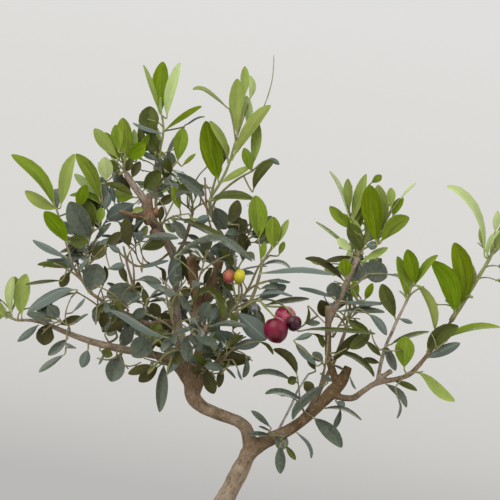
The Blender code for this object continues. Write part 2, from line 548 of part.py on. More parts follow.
def ring_frames(path, level_foot=False):
    """The tangent and two side directions at each point, turned as little as possible."""
    tangents = [Vector((0, 0, 1)) if level_foot else (path[1] - path[0]).normalized()]
    for before, after in zip(path, path[2:]):
        tangents.append((after - before).normalized())
    tangents.append((path[-1] - path[-2]).normalized())
    side = tangents[0].cross(Vector((0, 1, 0.01))).normalized()
    frames = []
    for tangent in tangents:
        side = (side - tangent * side.dot(tangent)).normalized()
        frames.append((tangent, side, tangent.cross(side)))
    return frames


def tube(path, radii, sides, shape=None):
    """A closed tube with flat ends. shape gives the radius's factor by ring and angle on the trunk."""
    points, faces = [], []
    frames = ring_frames(path, level_foot=shape is not None)
    for ring, (middle, radius, frame) in enumerate(zip(path, radii, frames)):
        for side in range(sides):
            angle = math.tau * side / sides
            reach = radius * (shape(ring, angle) if shape else 1.0)
            points.append(middle + (frame[1] * math.cos(angle) + frame[2] * math.sin(angle)) * reach)
    for ring in range(len(path) - 1):
        for side in range(sides):
            here, there = ring * sides + side, ring * sides + (side + 1) % sides
            faces.append((here, there, there + sides, here + sides))
    last = (len(path) - 1) * sides
    faces.append(tuple(reversed(range(sides))))
    faces.append(tuple(range(last, last + sides)))
    return points, faces


def limb_radii(limb, path, extra=0.0):
    """Radii along a limb: an even taper with low swellings."""
    radii = []
    length = sum((there - here).length for here, there in zip(path, path[1:]))
    phase = len(limb.name)
    for share in shares_along(path):
        swell = 1.0 + SWELL * math.sin(phase + math.tau * share * length / SWELL_LENGTH)
        radii.append((limb.start + (limb.end - limb.start) * share) * swell + extra)
    return radii


def flare_shape(path):
    """The trunk's root flare: a wider foot with rounded lobes that fade out upward."""
    def factor(ring, angle):
        height = path[ring].z - path[0].z
        fade = math.exp(-height / FLARE_HEIGHT)
        lobe = 1.0 + FLARE_LOBE_SHARE * math.cos(FLARE_LOBES * angle + FLARE_TURN)
        return 1.0 + FLARE_REACH / LIMBS[0].start * fade * lobe
    return factor


def limb_path(limb):
    """A limb's middle line, finely stepped."""
    return smooth_path(limb.path, RING_SPACING if limb.sides > THIN_SIDES else THIN_RING_SPACING)


def limb_solid(limb, extra=0.0):
    """A limb's solid. extra thickens it and moves its ends out."""
    path = limb_path(limb)
    radii = limb_radii(limb, path, extra)
    if extra:
        path[-1] = path[-1] + (path[-1] - path[-2]).normalized() * extra
    return tube(path, radii, limb.sides, flare_shape(path) if limb.name == "trunk" else None)


def build_limbs(material):
    """All limbs. Each is cut clear of the limbs that it grows from."""
    by_name = {limb.name: limb for limb in LIMBS}
    for limb in LIMBS:
        made = make_object(limb.name, limb_solid(limb), material)
        for parent in limb.parents:
            cutter = make_object("cutter", limb_solid(by_name[parent], SEAT_GAP), material)
            cut = made.modifiers.new("clear of " + parent, "BOOLEAN")
            cut.operation = "DIFFERENCE"
            cut.object = cutter
            apply_modifiers(made)
            bpy.data.objects.remove(cutter)
        keep_main_body(made)
        made.data.shade_smooth()


def rounded_rectangle(half_length, half_width, corner, height):
    """A level outline with round corners, anticlockwise from above."""
    outline = []
    for quarter, (side_x, side_y) in enumerate(((1, 1), (-1, 1), (-1, -1), (1, -1))):
        middle = Vector((side_x * (half_length - corner), side_y * (half_width - corner), height))
        for step in range(CORNER_STEPS + 1):
            angle = math.pi / 2 * (quarter + step / CORNER_STEPS)
            outline.append(middle + Vector((math.cos(angle), math.sin(angle), 0)) * corner)
    return outline


def lofted(outlines):
    """A closed solid through outlines that follow one another, with flat ends."""
    count = len(outlines[0])
    points = [point for outline in outlines for point in outline]
    faces = []
    for ring in range(len(outlines) - 1):
        for step in range(count):
            here, there = ring * count + step, ring * count + (step + 1) % count
            faces.append((here, there, there + count, here + count))
    last = (len(outlines) - 1) * count
    faces.append(tuple(reversed(range(count))))
    faces.append(tuple(range(last, last + count)))
    return points, faces


def pot_outline(height, inset):
    """The pot wall's outline at a height, moved in from the outer face by an inset."""
    taper = POT_TAPER * (1 - height / POT_HEIGHT) + inset
    return rounded_rectangle(POT_HALF_LENGTH - taper, POT_HALF_WIDTH - taper,
                             max(POT_CORNER - taper * CORNER_TIGHTENING, LEAST_CORNER), height)


def build_pot(material):
    """The tray: plinth, tapered wall, outward lip and inner wall down to the floor."""
    lip = LIP_REACH
    wall = POT_WALL + lip
    outlines = [
        pot_outline(0.0, lip + PLINTH_INSET),
        pot_outline(PLINTH_HEIGHT, lip + PLINTH_INSET),
        pot_outline(PLINTH_HEIGHT, lip + EDGE_ROUND * 2),
        pot_outline(PLINTH_HEIGHT + EDGE_ROUND * 2, lip),
        pot_outline(POT_HEIGHT - LIP_HEIGHT - EDGE_ROUND, lip),
        pot_outline(POT_HEIGHT - LIP_HEIGHT, EDGE_ROUND),
        pot_outline(POT_HEIGHT - LIP_HEIGHT + EDGE_ROUND, 0.0),
        pot_outline(POT_HEIGHT - EDGE_ROUND, 0.0),
        pot_outline(POT_HEIGHT, EDGE_ROUND),
        pot_outline(POT_HEIGHT, wall - EDGE_ROUND),
        pot_outline(POT_HEIGHT - EDGE_ROUND, wall),
        pot_outline(POT_FLOOR, wall),
    ]
    pot = make_object("pot", lofted(outlines), material)
    for side in (-1, 1):
        middle = Vector((side * DRAIN_SPACING / 2, 0, 0))
        rod = [middle + Vector((0, 0, -POT_FLOOR)), middle + Vector((0, 0, 2 * POT_FLOOR))]
        cutter = make_object("drain cutter", tube(rod, [DRAIN_RADIUS] * 2, DRAIN_SIDES), material)
        drain = pot.modifiers.new("drain hole", "BOOLEAN")
        drain.operation = "DIFFERENCE"
        drain.object = cutter
        apply_modifiers(pot)
        bpy.data.objects.remove(cutter)
    keep_main_body(pot)
    pot.data.shade_smooth()
    pot.data.set_sharp_from_angle(angle=math.radians(SHARP_ANGLE))


def build_soil(material):
    """The soil that fills the tray, clear of it by the seat gap."""
    inset = LIP_REACH + POT_WALL + SEAT_GAP
    outlines = [pot_outline(POT_FLOOR + SEAT_GAP, inset), pot_outline(SOIL_TOP, inset)]
    make_object("soil", lofted(outlines), material)


@dataclass
class Twig:
    """A grown twig: its middle line and radii, and what it grows from."""

    path: list
    radii: list
    sides: int

    def solid(self, extra=0.0):
        """The twig's own solid, thickened by extra."""
        return tube(self.path, [radius + extra for radius in self.radii], self.sides)


@dataclass
class Leaf:
    """A grown leaf: where it leaves its twig, its tip, the way its upper face looks, its width."""

    root: Vector
    tip: Vector
    up: Vector
    width: float

    def solid(self, extra=0.0, start=0.0):
        """A keeled leaf of six points and eight faces, larger by extra and begun at a share."""
        axis = self.tip - self.root
        depth = axis.length * LEAF_DEPTH + extra
        root = self.root + axis * start
        tip = self.tip + axis.normalized() * extra
        side = axis.cross(self.up).normalized()
        lift = side.cross(axis).normalized() * depth
        half = self.width / 2 + extra
        drop = lift * (extra / depth) if extra else Vector((0, 0, 0))
        points = [root - drop]
        for share, width in ((SHOULDER, SHOULDER_WIDTH), (NECK, NECK_WIDTH)):
            share = PETIOLE_SHARE + (1 - PETIOLE_SHARE) * share
            middle = self.root + axis * max(share, start + LEAST_STEP) + lift
            points.append(middle + side * half * width)
            points.append(middle - side * half * width)
        points.append(tip - drop)
        faces = [(0, 1, 2), (1, 3, 4), (1, 4, 2), (3, 5, 4), (0, 5, 1), (1, 5, 3), (0, 2, 5), (2, 4, 5)]
        return points, faces


def tree_of(solids):
    """A search tree over the faces of several solids."""
    points, faces = [], []
    for solid_points, solid_faces in solids:
        base = len(points)
        points.extend(solid_points)
        faces.extend(tuple(base + index for index in face) for face in solid_faces)
    return BVHTree.FromPolygons(points, faces) if faces else None


def touches(solid, trees):
    """True if a solid's surface crosses that of any tree."""
    own = tree_of([solid])
    return any(tree is not None and own.overlap(tree) for tree in trees)


def perpendicular(direction, axis):
    """The part of a direction that is square to an axis, as a unit."""
    return (direction - axis * direction.dot(axis)).normalized()


def stem_of(spray, limbs):
    """A spray's stem. It starts clear of its bough's tip, or of the bough's side."""
    limb = limbs[spray.bough]
    path = limb_path(limb)
    spot, along = point_along(path, spray.at)
    first = Vector(spray.path[0])
    if spray.at >= 1.0:
        start = path[-1] + along * SEAT_GAP
        foot = [start, start + along * TIP_FOOT]
    else:
        out = perpendicular(first - spot, along)
        radius = max(limb_radii(limb, path))
        local = limb.start + (limb.end - limb.start) * spray.at
        start = spot + out * (min(radius, local * (1 + SWELL)) + SEAT_GAP)
        foot = [start, start + out * SIDE_FOOT]
    path = smooth_path([*foot, *spray.path], TWIG_STEP)
    shares = shares_along(path)
    radii = [spray.radius * (1 - STEM_THINNING * share) for share in shares]
    return Twig(path, radii, STEM_SIDES)


def shoot_of(stem, at, tip, radius):
    """A twig from a stem to a tip, which leaves along the stem and bends to its own way."""
    root, along = point_along(stem.path, at)
    tip = Vector(tip)
    span = (tip - root).length
    way = along * BEND_ALONG_STEM + (tip - root).normalized() * (1 - BEND_ALONG_STEM)
    bend = root + way * span * BEND_AT
    steps = max(2, round(span / TWIG_STEP))
    path = []
    for step in range(steps + 1):
        t = step / steps
        path.append(root * (1 - t) ** 2 + bend * 2 * t * (1 - t) + tip * t ** 2)
    radii = [radius * (1 - SHOOT_THINNING * step / steps) for step in range(steps + 1)]
    return Twig(path, radii, TWIG_SIDES)


def grow_twigs(spray, limbs):
    """A spray's stem and shoots, each with its pairs, leaf length, habit, twist and bare share."""
    stem = stem_of(spray, limbs)
    grown = [(stem, spray.pairs, spray.leaf, spray.habit, spray.twist, spray.bare)]
    for shoot in spray.shoots:
        twig = shoot_of(stem, shoot.at, shoot.tip, spray.radius * SHOOT_RADIUS_SHARE)
        grown.append((twig, shoot.pairs, shoot.leaf, shoot.habit, shoot.twist, SHOOT_BARE))
    return grown


def leaf_at(twig, share, side, phase, open_angle, length, habit, rng, turn):
    """One leaf of a pair. turn in degrees turns it round its twig for another try."""
    root, along = point_along(twig.path, share)
    across = perpendicular(Vector((1, 0, 0.02)), along)
    around = Quaternion(along, math.radians(phase + turn)) @ across
    lean = math.radians(open_angle + rng.uniform(-LEAN_SPREAD, LEAN_SPREAD))
    way = along * math.cos(lean) + around * (math.sin(lean) * side)
    way = (way + Vector((0, 0, habit.rise))).normalized()
    length = length * rng.uniform(*LENGTH_SPREAD)
    natural = perpendicular(along, way)
    lit = perpendicular(LIGHT, way)
    up = (natural + lit * habit.facing * rng.uniform(*LIGHT_SPREAD)).normalized()
    up = Quaternion(way, math.radians(rng.uniform(-ROLL_SPREAD, ROLL_SPREAD))) @ up
    return Leaf(root, root + way * length, up, length * habit.slim * rng.uniform(*WIDTH_SPREAD))


def lone_leaf(grown, lone):
    """A leaf with its tip at a given place, its face turned to the light."""
    twig = grown[lone.twig][0]
    root, _ = point_along(twig.path, lone.at)
    tip = Vector(lone.tip)
    way = (tip - root).normalized()
    return Leaf(root, tip, perpendicular(LIGHT, way), lone.width)


def seen(point):
    """Where a point shows from in front: across and up, at the depth of the trunk."""
    scale = VIEW_DISTANCE / (VIEW_DISTANCE + point.y)
    return Vector((VIEW_X + (point.x - VIEW_X) * scale, VIEW_Z + (point.z - VIEW_Z) * scale))


def hides_sky(leaf):
    """True if a leaf's blade would show in an opening of the crown."""
    axis = leaf.tip - leaf.root
    side = axis.cross(leaf.up).normalized() * leaf.width / 2
    first, last = seen(leaf.root + axis * OWN_ROOM_SHARE), seen(leaf.tip)
    line = last - first
    reach = (seen(leaf.root + side) - seen(leaf.root)).length
    for across, up, radius in SKY:
        spot = Vector((across, up))
        share = min(max((spot - first).dot(line) / line.length_squared, 0.0), 1.0)
        if (first + line * share - spot).length < radius + reach * HALF_SEEN:
            return True
    return False


def place_lone_leaves(spray, grown, blocked):
    """The spray's lone leaves, less any that would touch something."""
    leaves = [lone_leaf(grown, lone) for lone in spray.lone]
    return [leaf for leaf in leaves if not touches(leaf.solid(LEAF_ROOM), blocked)]


def place_pairs(grown, leaves, blocked, rng):
    """Add opposite pairs of leaves along each twig, less any that would touch something or hide sky."""
    own = [tree_of([leaf.solid(start=OWN_ROOM_SHARE)]) for leaf in leaves]
    for twig, pairs, length, habit, twist, bare in grown:
        for pair in range(pairs):
            part = (pair + 1) / pairs
            share = min(bare + (1 - bare) * part, LAST_PAIR) if pairs > 1 else LAST_PAIR
            open_angle = habit.lower + (habit.upper - habit.lower) * part
            size = length * (END_PAIR_SIZE + MIDDLE_PAIR_GAIN * math.sin(math.pi * (0.25 + 0.5 * part)))
            for side in (-1, 1):
                for attempt in range(LEAF_TRIES):
                    leaf = leaf_at(twig, share - PAIR_OFFSET * side, side, twist + 90 * pair, open_angle,
                                   size * (1 - RETRY_SHRINK * attempt), habit, rng, attempt * RETRY_TURN * side)
                    outer = leaf.solid(start=OWN_ROOM_SHARE)
                    if hides_sky(leaf):
                        continue
                    if touches(leaf.solid(LEAF_ROOM), blocked) or touches(outer, own):
                        continue
                    leaves.append(leaf)
                    own.append(tree_of([outer]))
                    break


def fruit_solid(middle, width, height):
    """An olive: a round solid, longer than it is wide."""
    points = [middle + Vector((0, 0, height / 2))]
    for ring in range(1, FRUIT_RINGS):
        angle = math.pi * ring / FRUIT_RINGS
        for side in range(FRUIT_SIDES):
            turn = math.tau * side / FRUIT_SIDES
            reach = math.sin(angle) * width / 2
            points.append(middle + Vector((math.cos(turn) * reach, math.sin(turn) * reach,
                                           math.cos(angle) * height / 2)))
    points.append(middle - Vector((0, 0, height / 2)))
    faces = []
    for side in range(FRUIT_SIDES):
        after = (side + 1) % FRUIT_SIDES
        faces.append((0, 1 + side, 1 + after))
        for ring in range(FRUIT_RINGS - 2):
            here = 1 + ring * FRUIT_SIDES
            faces.append((here + side, here + FRUIT_SIDES + side, here + FRUIT_SIDES + after, here + after))
        last = 1 + (FRUIT_RINGS - 2) * FRUIT_SIDES
        faces.append((last + side, len(points) - 1, last + after))
    return points, faces


def stalk_of(stem, fruit):
    """The stalk: it leaves the stem, droops and runs into the top of its fruit."""
    root, _ = point_along(stem.path, fruit.at)
    middle = Vector(fruit.middle)
    top = middle + Vector((0, 0, fruit.height * STALK_DEPTH))
    lift = middle + Vector((0, 0, fruit.height / 2 + STALK_RISE))
    path = []
    for step in range(STALK_STEPS + 1):
        t = step / STALK_STEPS
        path.append(root * (1 - t) ** 2 + lift * 2 * t * (1 - t) + top * t ** 2)
    return Twig(path, [STALK_RADIUS] * len(path), TWIG_SIDES)


def fuse(name, solids, material):
    """One body from a stem, the first solid, and everything that grows from it."""
    pieces = bpy.data.collections.new(name + " pieces")
    bpy.context.scene.collection.children.link(pieces)
    mass = make_object(name, solids[0], material)
    for solid in solids[1:]:
        piece = make_object("piece", solid, material)
        bpy.context.scene.collection.objects.unlink(piece)
        pieces.objects.link(piece)
    union = mass.modifiers.new("union", "BOOLEAN")
    union.operation = "UNION"
    union.operand_type = "COLLECTION"
    union.collection = pieces
    union.solver = "MANIFOLD"
    apply_modifiers(mass)
    for piece in list(pieces.objects):
        bpy.data.objects.remove(piece)
    bpy.data.collections.remove(pieces)
    keep_main_body(mass)
    return mass


def build_sprays(material):
    """Every spray. All twigs come first and lone leaves next, so that pairs grow round them."""
    limbs = {limb.name: limb for limb in LIMBS}
    wood = tree_of([limb_solid(limb, SEAT_GAP) for limb in LIMBS])
    grown, extras, rooms = {}, {}, {}
    for spray in SPRAYS:
        name = spray.name
        grown[name] = grow_twigs(spray, limbs)
        stalks = [stalk_of(grown[name][0][0], fruit) for fruit in spray.fruits]
        fruits = [fruit_solid(Vector(fruit.middle), fruit.width, fruit.height) for fruit in spray.fruits]
        extras[name] = [stalk.solid() for stalk in stalks] + fruits
        rooms[name] = tree_of([twig[0].solid(TWIG_ROOM) for twig in grown[name]]
                              + [stalk.solid(TWIG_ROOM) for stalk in stalks] + fruits)
    leaves, taken = {}, {}
    for spray in SPRAYS:
        name = spray.name
        others = [room for other, room in rooms.items() if other != name]
        fruit = [tree_of(extras[name])]
        leaves[name] = place_lone_leaves(spray, grown[name], [wood, *others, *fruit, *taken.values()])
        taken[name] = tree_of([leaf.solid() for leaf in leaves[name]])
    for number, spray in enumerate(SPRAYS):
        name = spray.name
        others = [room for other, room in rooms.items() if other != name]
        others += [tree for other, tree in taken.items() if other != name]
        fruit = [tree_of(extras[name])]
        place_pairs(grown[name], leaves[name], [wood, *others, *fruit], Random(number))
        taken[name] = tree_of([leaf.solid() for leaf in leaves[name]])
        solids = [twig[0].solid() for twig in grown[name]] + extras[name]
        fuse(name, solids + [leaf.solid() for leaf in leaves[name]], material)


def main():
    """Build the pot, the soil, the limbs and the sprays."""
    clear_scene()
    materials = {name: make_material(name) for name in MATERIALS}
    build_pot(materials["stoneware"])
    build_soil(materials["soil"])
    build_limbs(materials["bark"])
    build_sprays(materials["leaf"])


main()
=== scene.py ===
"""The looks of an olive bonsai in a stoneware tray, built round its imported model.

The trunk and the boughs are covered with barked wood, and each mass of leaves gives way to twigs
and leaves that grow by the source's rule. Leaves that can be told apart from in front are placed
first, where they show. The others grow round them.

Sizes are in millimetres until a mesh is made, except where a name ends in _m. X runs to the right,
Y away from the viewer and Z up, from the middle of the flat underside of the pot.
"""

import logging
import math
from collections.abc import Callable, Iterable
from dataclasses import dataclass
from enum import Enum
from random import Random

import bpy
import numpy as np
from mathutils import Matrix, Quaternion, Vector, noise
from mathutils.bvhtree import BVHTree
from mathutils.kdtree import KDTree


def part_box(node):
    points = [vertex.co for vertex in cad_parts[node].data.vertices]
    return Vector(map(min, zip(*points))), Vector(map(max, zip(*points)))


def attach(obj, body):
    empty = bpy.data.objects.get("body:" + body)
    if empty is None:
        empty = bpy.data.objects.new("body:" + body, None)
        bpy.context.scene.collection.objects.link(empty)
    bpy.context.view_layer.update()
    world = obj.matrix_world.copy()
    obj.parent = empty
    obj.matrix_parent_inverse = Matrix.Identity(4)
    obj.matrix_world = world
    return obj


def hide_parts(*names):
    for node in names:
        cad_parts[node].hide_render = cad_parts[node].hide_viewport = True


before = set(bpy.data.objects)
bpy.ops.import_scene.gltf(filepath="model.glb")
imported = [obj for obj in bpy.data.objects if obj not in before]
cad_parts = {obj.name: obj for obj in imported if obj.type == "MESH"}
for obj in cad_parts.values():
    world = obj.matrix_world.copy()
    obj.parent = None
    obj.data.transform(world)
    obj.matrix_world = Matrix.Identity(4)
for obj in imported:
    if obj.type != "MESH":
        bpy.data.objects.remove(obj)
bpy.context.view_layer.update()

LOG = logging.getLogger("olive")
MM = 0.001
BODY = "root"

# A solid is its points and its faces, and a socket passes a value on in a material
Solid = tuple[list[Vector], list[tuple[int, ...]]]
Socket = bpy.types.NodeSocket

# Where the crown is looked at from in front, and how far off
VIEW_X = 14.3
VIEW_Z = 294.5
VIEW_DISTANCE = 2200.0
VIEW_WIDTH = 325.0
SENSOR_WIDTH = 36.0

# Light falls on the plant from above and from the viewer's side, and leaves turn to it
LIGHT = Vector((0.1, -0.75, 0.65))

# Wood: the gap between solids in the source, the low swellings of a limb, and the trunk's wide foot,
# which is round here, at a share of what the lobed foot of the source reaches
SEAT_GAP = 0.3
SWELL = 0.05
SWELL_LENGTH = 23.0
FLARE_REACH = 6.5
FLARE_HEIGHT = 9.0
FLARE_ROUND = 0.8

# How finely the lines of the wood are stepped, to tell what touches and to be seen
LIMB_STEP = 4.0
WOOD_STEP = 2.5

# A stem's foot: how far it starts inside its bough's tip and comes out of it, or starts at a share of
# the bough's radius and comes out of its side
TIP_SINK = 2.0
TIP_RISE = 1.3
SIDE_SINK = 0.6
SIDE_RISE = 2.3

# Stems and shoots: how far apart their steps are, how much they taper, a shoot's girth beside its
# stem's, how much it starts along its stem and for how far, the share of it that bears no leaves, and
# how young a grown twig is
TWIG_STEP = 15.0
STEM_TAPER = 0.4
SHOOT_TAPER = 0.3
SHOOT_GIRTH = 0.75
SHOOT_ALONG = 0.6
SHOOT_BEND = 0.45
SHOOT_BARE = 0.3
GROWN_YOUTH = 0.35

# Pairs of leaves and finer twigs are turned round their twig from this side
SIDEWAYS = Vector((1, 0, 0.02))

# The stalk of an olive: its radius, straight and by other points, where it enters the fruit, how high
# above the fruit it is drawn, how many steps it has, and how far apart they are by other points
STALK_RADIUS = 0.65
LED_STALK_RADIUS = 0.7
STALK_SEAT = 0.44
STALK_LIFT = 4.0
STALK_STEPS = 12
LED_STALK_STEP = 1.5

# Room round twigs and leaves, and the tries that a leaf has, as in the source
TWIG_ROOM = 0.6
LEAF_ROOM = 0.4
LEAF_TRIES = 6
RETRY_TURN = 23.0
RETRY_SHRINK = 0.05
LAST_PAIR = 0.985
PAIR_OFFSET = 0.012
OWN_ROOM_SHARE = 0.25

# A twig's leaves are largest halfway along it: the share that all have, and what the largest gain
LEAST_SIZE = 0.78
MIDDLE_GAIN = 0.22

# How many of a leaf's eight trial places may hide what shows, and may show outside the thick
MOST_HIDING = 1
MOST_SHOWING = 1

# Where a leaf is tested for what it hides or shows: shares of its length, and of half its width
TEST_SHARES = (0.25, 0.5, 0.75, 0.97)
TEST_REACH = 0.7

# The keeled leaf of the source: where its two rings lie and how wide they are, as shares, how high its
# keel is, and how close to its start the first ring may come. Then the steps of a curved leaf's line
KEEL_RINGS = ((0.36, 0.96), (0.82, 0.8))
KEEL_LIFT = 0.03
KEEL_START = 0.05
LEAF_STEPS = 8

# The rings of an olive: their height above its middle and their radius, as shares of its own sizes
OLIVE_ROUND = ((-0.5, 0.1), (-0.25, 0.42), (0.0, 0.5), (0.25, 0.42), (0.5, 0.1))

# Leaves whose tips reach this far to the front stay, since the source's crown reaches as far
FRONT_REACH = -78.0

# How far behind its twig a leaf starts that passes behind
BEHIND = 5.0

# Finer twigs: how far apart they leave a twig, from where along it, over what share and up to where,
# how much they lean along it, how long and thick they are, and their leaves beside those of the twig
FINER_STEP = 6.5
FINER_FROM = 0.2
FINER_SPAN = 0.7
FINER_LAST = 0.95
FINER_LEAN = 0.55
FINER_REACH = (9, 17)
FINER_RADIUS = 0.55
FINER_LEAF = 0.66

# How much room a finer twig keeps from the olives, and a known leaf from what stands round it
FINER_ROOM = 0.2
KNOWN_ROOM = 0.1

# Known leaves and twigs: how far apart the steps of their lines are, the radius at the foot of the
# thinnest twig and of the thickest bough that bear them, and what a step in depth counts for beside one
# in view. Then how much a twig tapers, a leaf's full width as a share of its length and at most, how
# upright it is where chance says which side looks up, how far its tip may swing to the front or back,
# and how the swing grows from try to try
KNOWN_STEP = 3.0
BEARING_RADIUS = 0.52
BEARING_BOUGH = 5
DEPTH_WEIGHT = 0.1
KNOWN_TAPER = 0.5
FULL_SHARE = 0.3
FULL_WIDTH = 11.0
UPRIGHT = 0.15
SWING = (-0.12, 0.25)
SWING_STEP = 0.14
KNOWN_TRIES = 9

# A known leaf that stands further than this from its twig gets a spur to it: how much the spur bends,
# its steps, its radius, and how much thinner it is from step to step
SPUR_GAP = 1.0
SPUR_BEND = 0.14
SPUR_STEPS = 6
SPUR_RADIUS = 0.6
SPUR_THINNING = 0.03


class Tint(Enum):
    """The plain colours that leaves come in. The dark brown is painted shade, for leaves deep in the crown's
    shade, and the pale green is partly young leaves' own paler colour and partly painted light shining
    through them.
    """

    # Partly young leaves' own paler green and partly painted light shining through them
    PALE = "pale"
    YOUNG = "young"
    DEEP = "deep"
    OLIVE = "olive"
    GREEN = "green"
    BLUE = "blue"
    GREY = "grey"
    # A dark brown that is painted shade, for leaves deep in the crown's shade
    BROWN = "brown"


@dataclass(frozen=True)
class Limb:
    """One limb: its middle line, and its radius at both ends and, where it varies, at each point."""

    name: str
    path: tuple
    start: float
    end: float
    girths: tuple = ()


@dataclass(frozen=True)
class Habit:
    """How the leaves of a shoot are held, in degrees and shares, and their tints."""

    lower: float
    upper: float
    rise: float
    facing: float
    slim: float
    tints: tuple[Tint, ...]

    @property
    def youth(self) -> float:
        """Return how young a twig of this habit is."""
        return 1.0 if self is YOUNG else GROWN_YOUTH


@dataclass(frozen=True)
class Spread:
    """Between what bounds leaves differ, in degrees or as shares of what they would be."""

    lean: tuple = (-7, 7)
    length: tuple = (0.88, 1.1)
    facing: tuple = (0.3, 1.7)
    roll: tuple = (-18, 18)
    width: tuple = (0.88, 1.12)
    bow: tuple = (0.02, 0.09)
    fold: tuple = (0.1, 0.4)
    broadest: tuple = (0.48, 0.6)


# How leaves in pairs differ, and how known ones do
PAIRED = Spread()
KNOWN_SPREAD = Spread(fold=(0.12, 0.4), broadest=(0.5, 0.6))


@dataclass(frozen=True)
class Shoot:
    """A twig that a stem bears at a share of its length, up to its tip, with pairs of leaves."""

    at: float
    tip: tuple
    pairs: int
    leaf: float
    habit: Habit
    twist: float = 0.0


@dataclass(frozen=True)
class Fruit:
    """An olive on its stalk, which leaves the stem at a share of its length and may pass by other points."""

    at: float
    middle: tuple
    width: float
    height: float
    via: tuple = ()


@dataclass(frozen=True)
class Spray:
    """One mass of leaves. Its stem leaves a bough at a share of the bough's length."""

    name: str
    bough: str
    at: float
    path: tuple
    radius: float
    pairs: int
    leaf: float
    habit: Habit
    shoots: tuple = ()
    twist: float = 0.0
    bare: float = 0.35
    fruits: tuple = ()


# Young leaves at the tips stand up and are pale, partly by painted light shining through them; grown ones
# spread and are blue-green; shaded ones lean out and droop, and some take the dark brown that is painted
# shade
YOUNG = Habit(55.0, 20.0, 0.2, 1.2, 0.33, (Tint.YOUNG, Tint.DEEP, Tint.OLIVE, Tint.PALE))
GROWN = Habit(72.0, 36.0, -0.12, 1.0, 0.38, (Tint.BLUE, Tint.GREEN, Tint.BLUE, Tint.GREY))
SHADED = Habit(80.0, 45.0, -0.38, 0.7, 0.4, (Tint.BLUE, Tint.GREEN, Tint.BROWN, Tint.BLUE))

# Sky shows between the leaves there: the middle across and up, and the radius, of each opening
SKY = (
    (-150, 273, 5), (-121, 292, 4), (-98, 265, 5), (-88, 261, 4), (-73, 290, 5), (-48, 292, 5),
    (-54, 281, 5), (-52, 268, 4), (-54, 350, 4), (-104, 218, 5), (-86, 214, 5), (-63, 204, 5),
    (-125, 237, 4), (-22, 348, 6), (-27, 363, 4), (-22, 325, 5), (7, 341, 4), (24, 357, 5), (33, 322, 5),
    (44, 303, 6), (39, 292, 4), (46, 268, 4), (55, 254, 4), (19, 220, 6), (36, 218, 6), (46, 234, 3),
    (56, 226, 3), (74, 236, 5), (78, 247, 4), (95, 246, 4), (136, 218, 7), (131, 273, 5), (157, 298, 5),
    (163, 270, 4), (173, 317, 6), (97, 200, 5), (45, 165, 6), (54, 176, 4), (63, 304, 5), (62, 293, 3),
    (96, 268, 4), (107, 301, 5), (-75, 278, 4), (-83, 269, 4), (-43, 269, 4), (-33, 275, 4), (-89, 300, 3),
    (-87, 305, 3), (-76, 309, 4), (-36, 321, 3), (-26, 305, 4), (-25, 319, 4), (-46, 257, 4),
    (-62, 256, 3), (-62, 235, 3), (-70, 234, 3), (-29, 244, 3), (-47, 213, 4), (-8, 309, 3), (9, 317, 3),
    (10, 284, 3), (-66, 224, 4), (2, 213, 5),
)
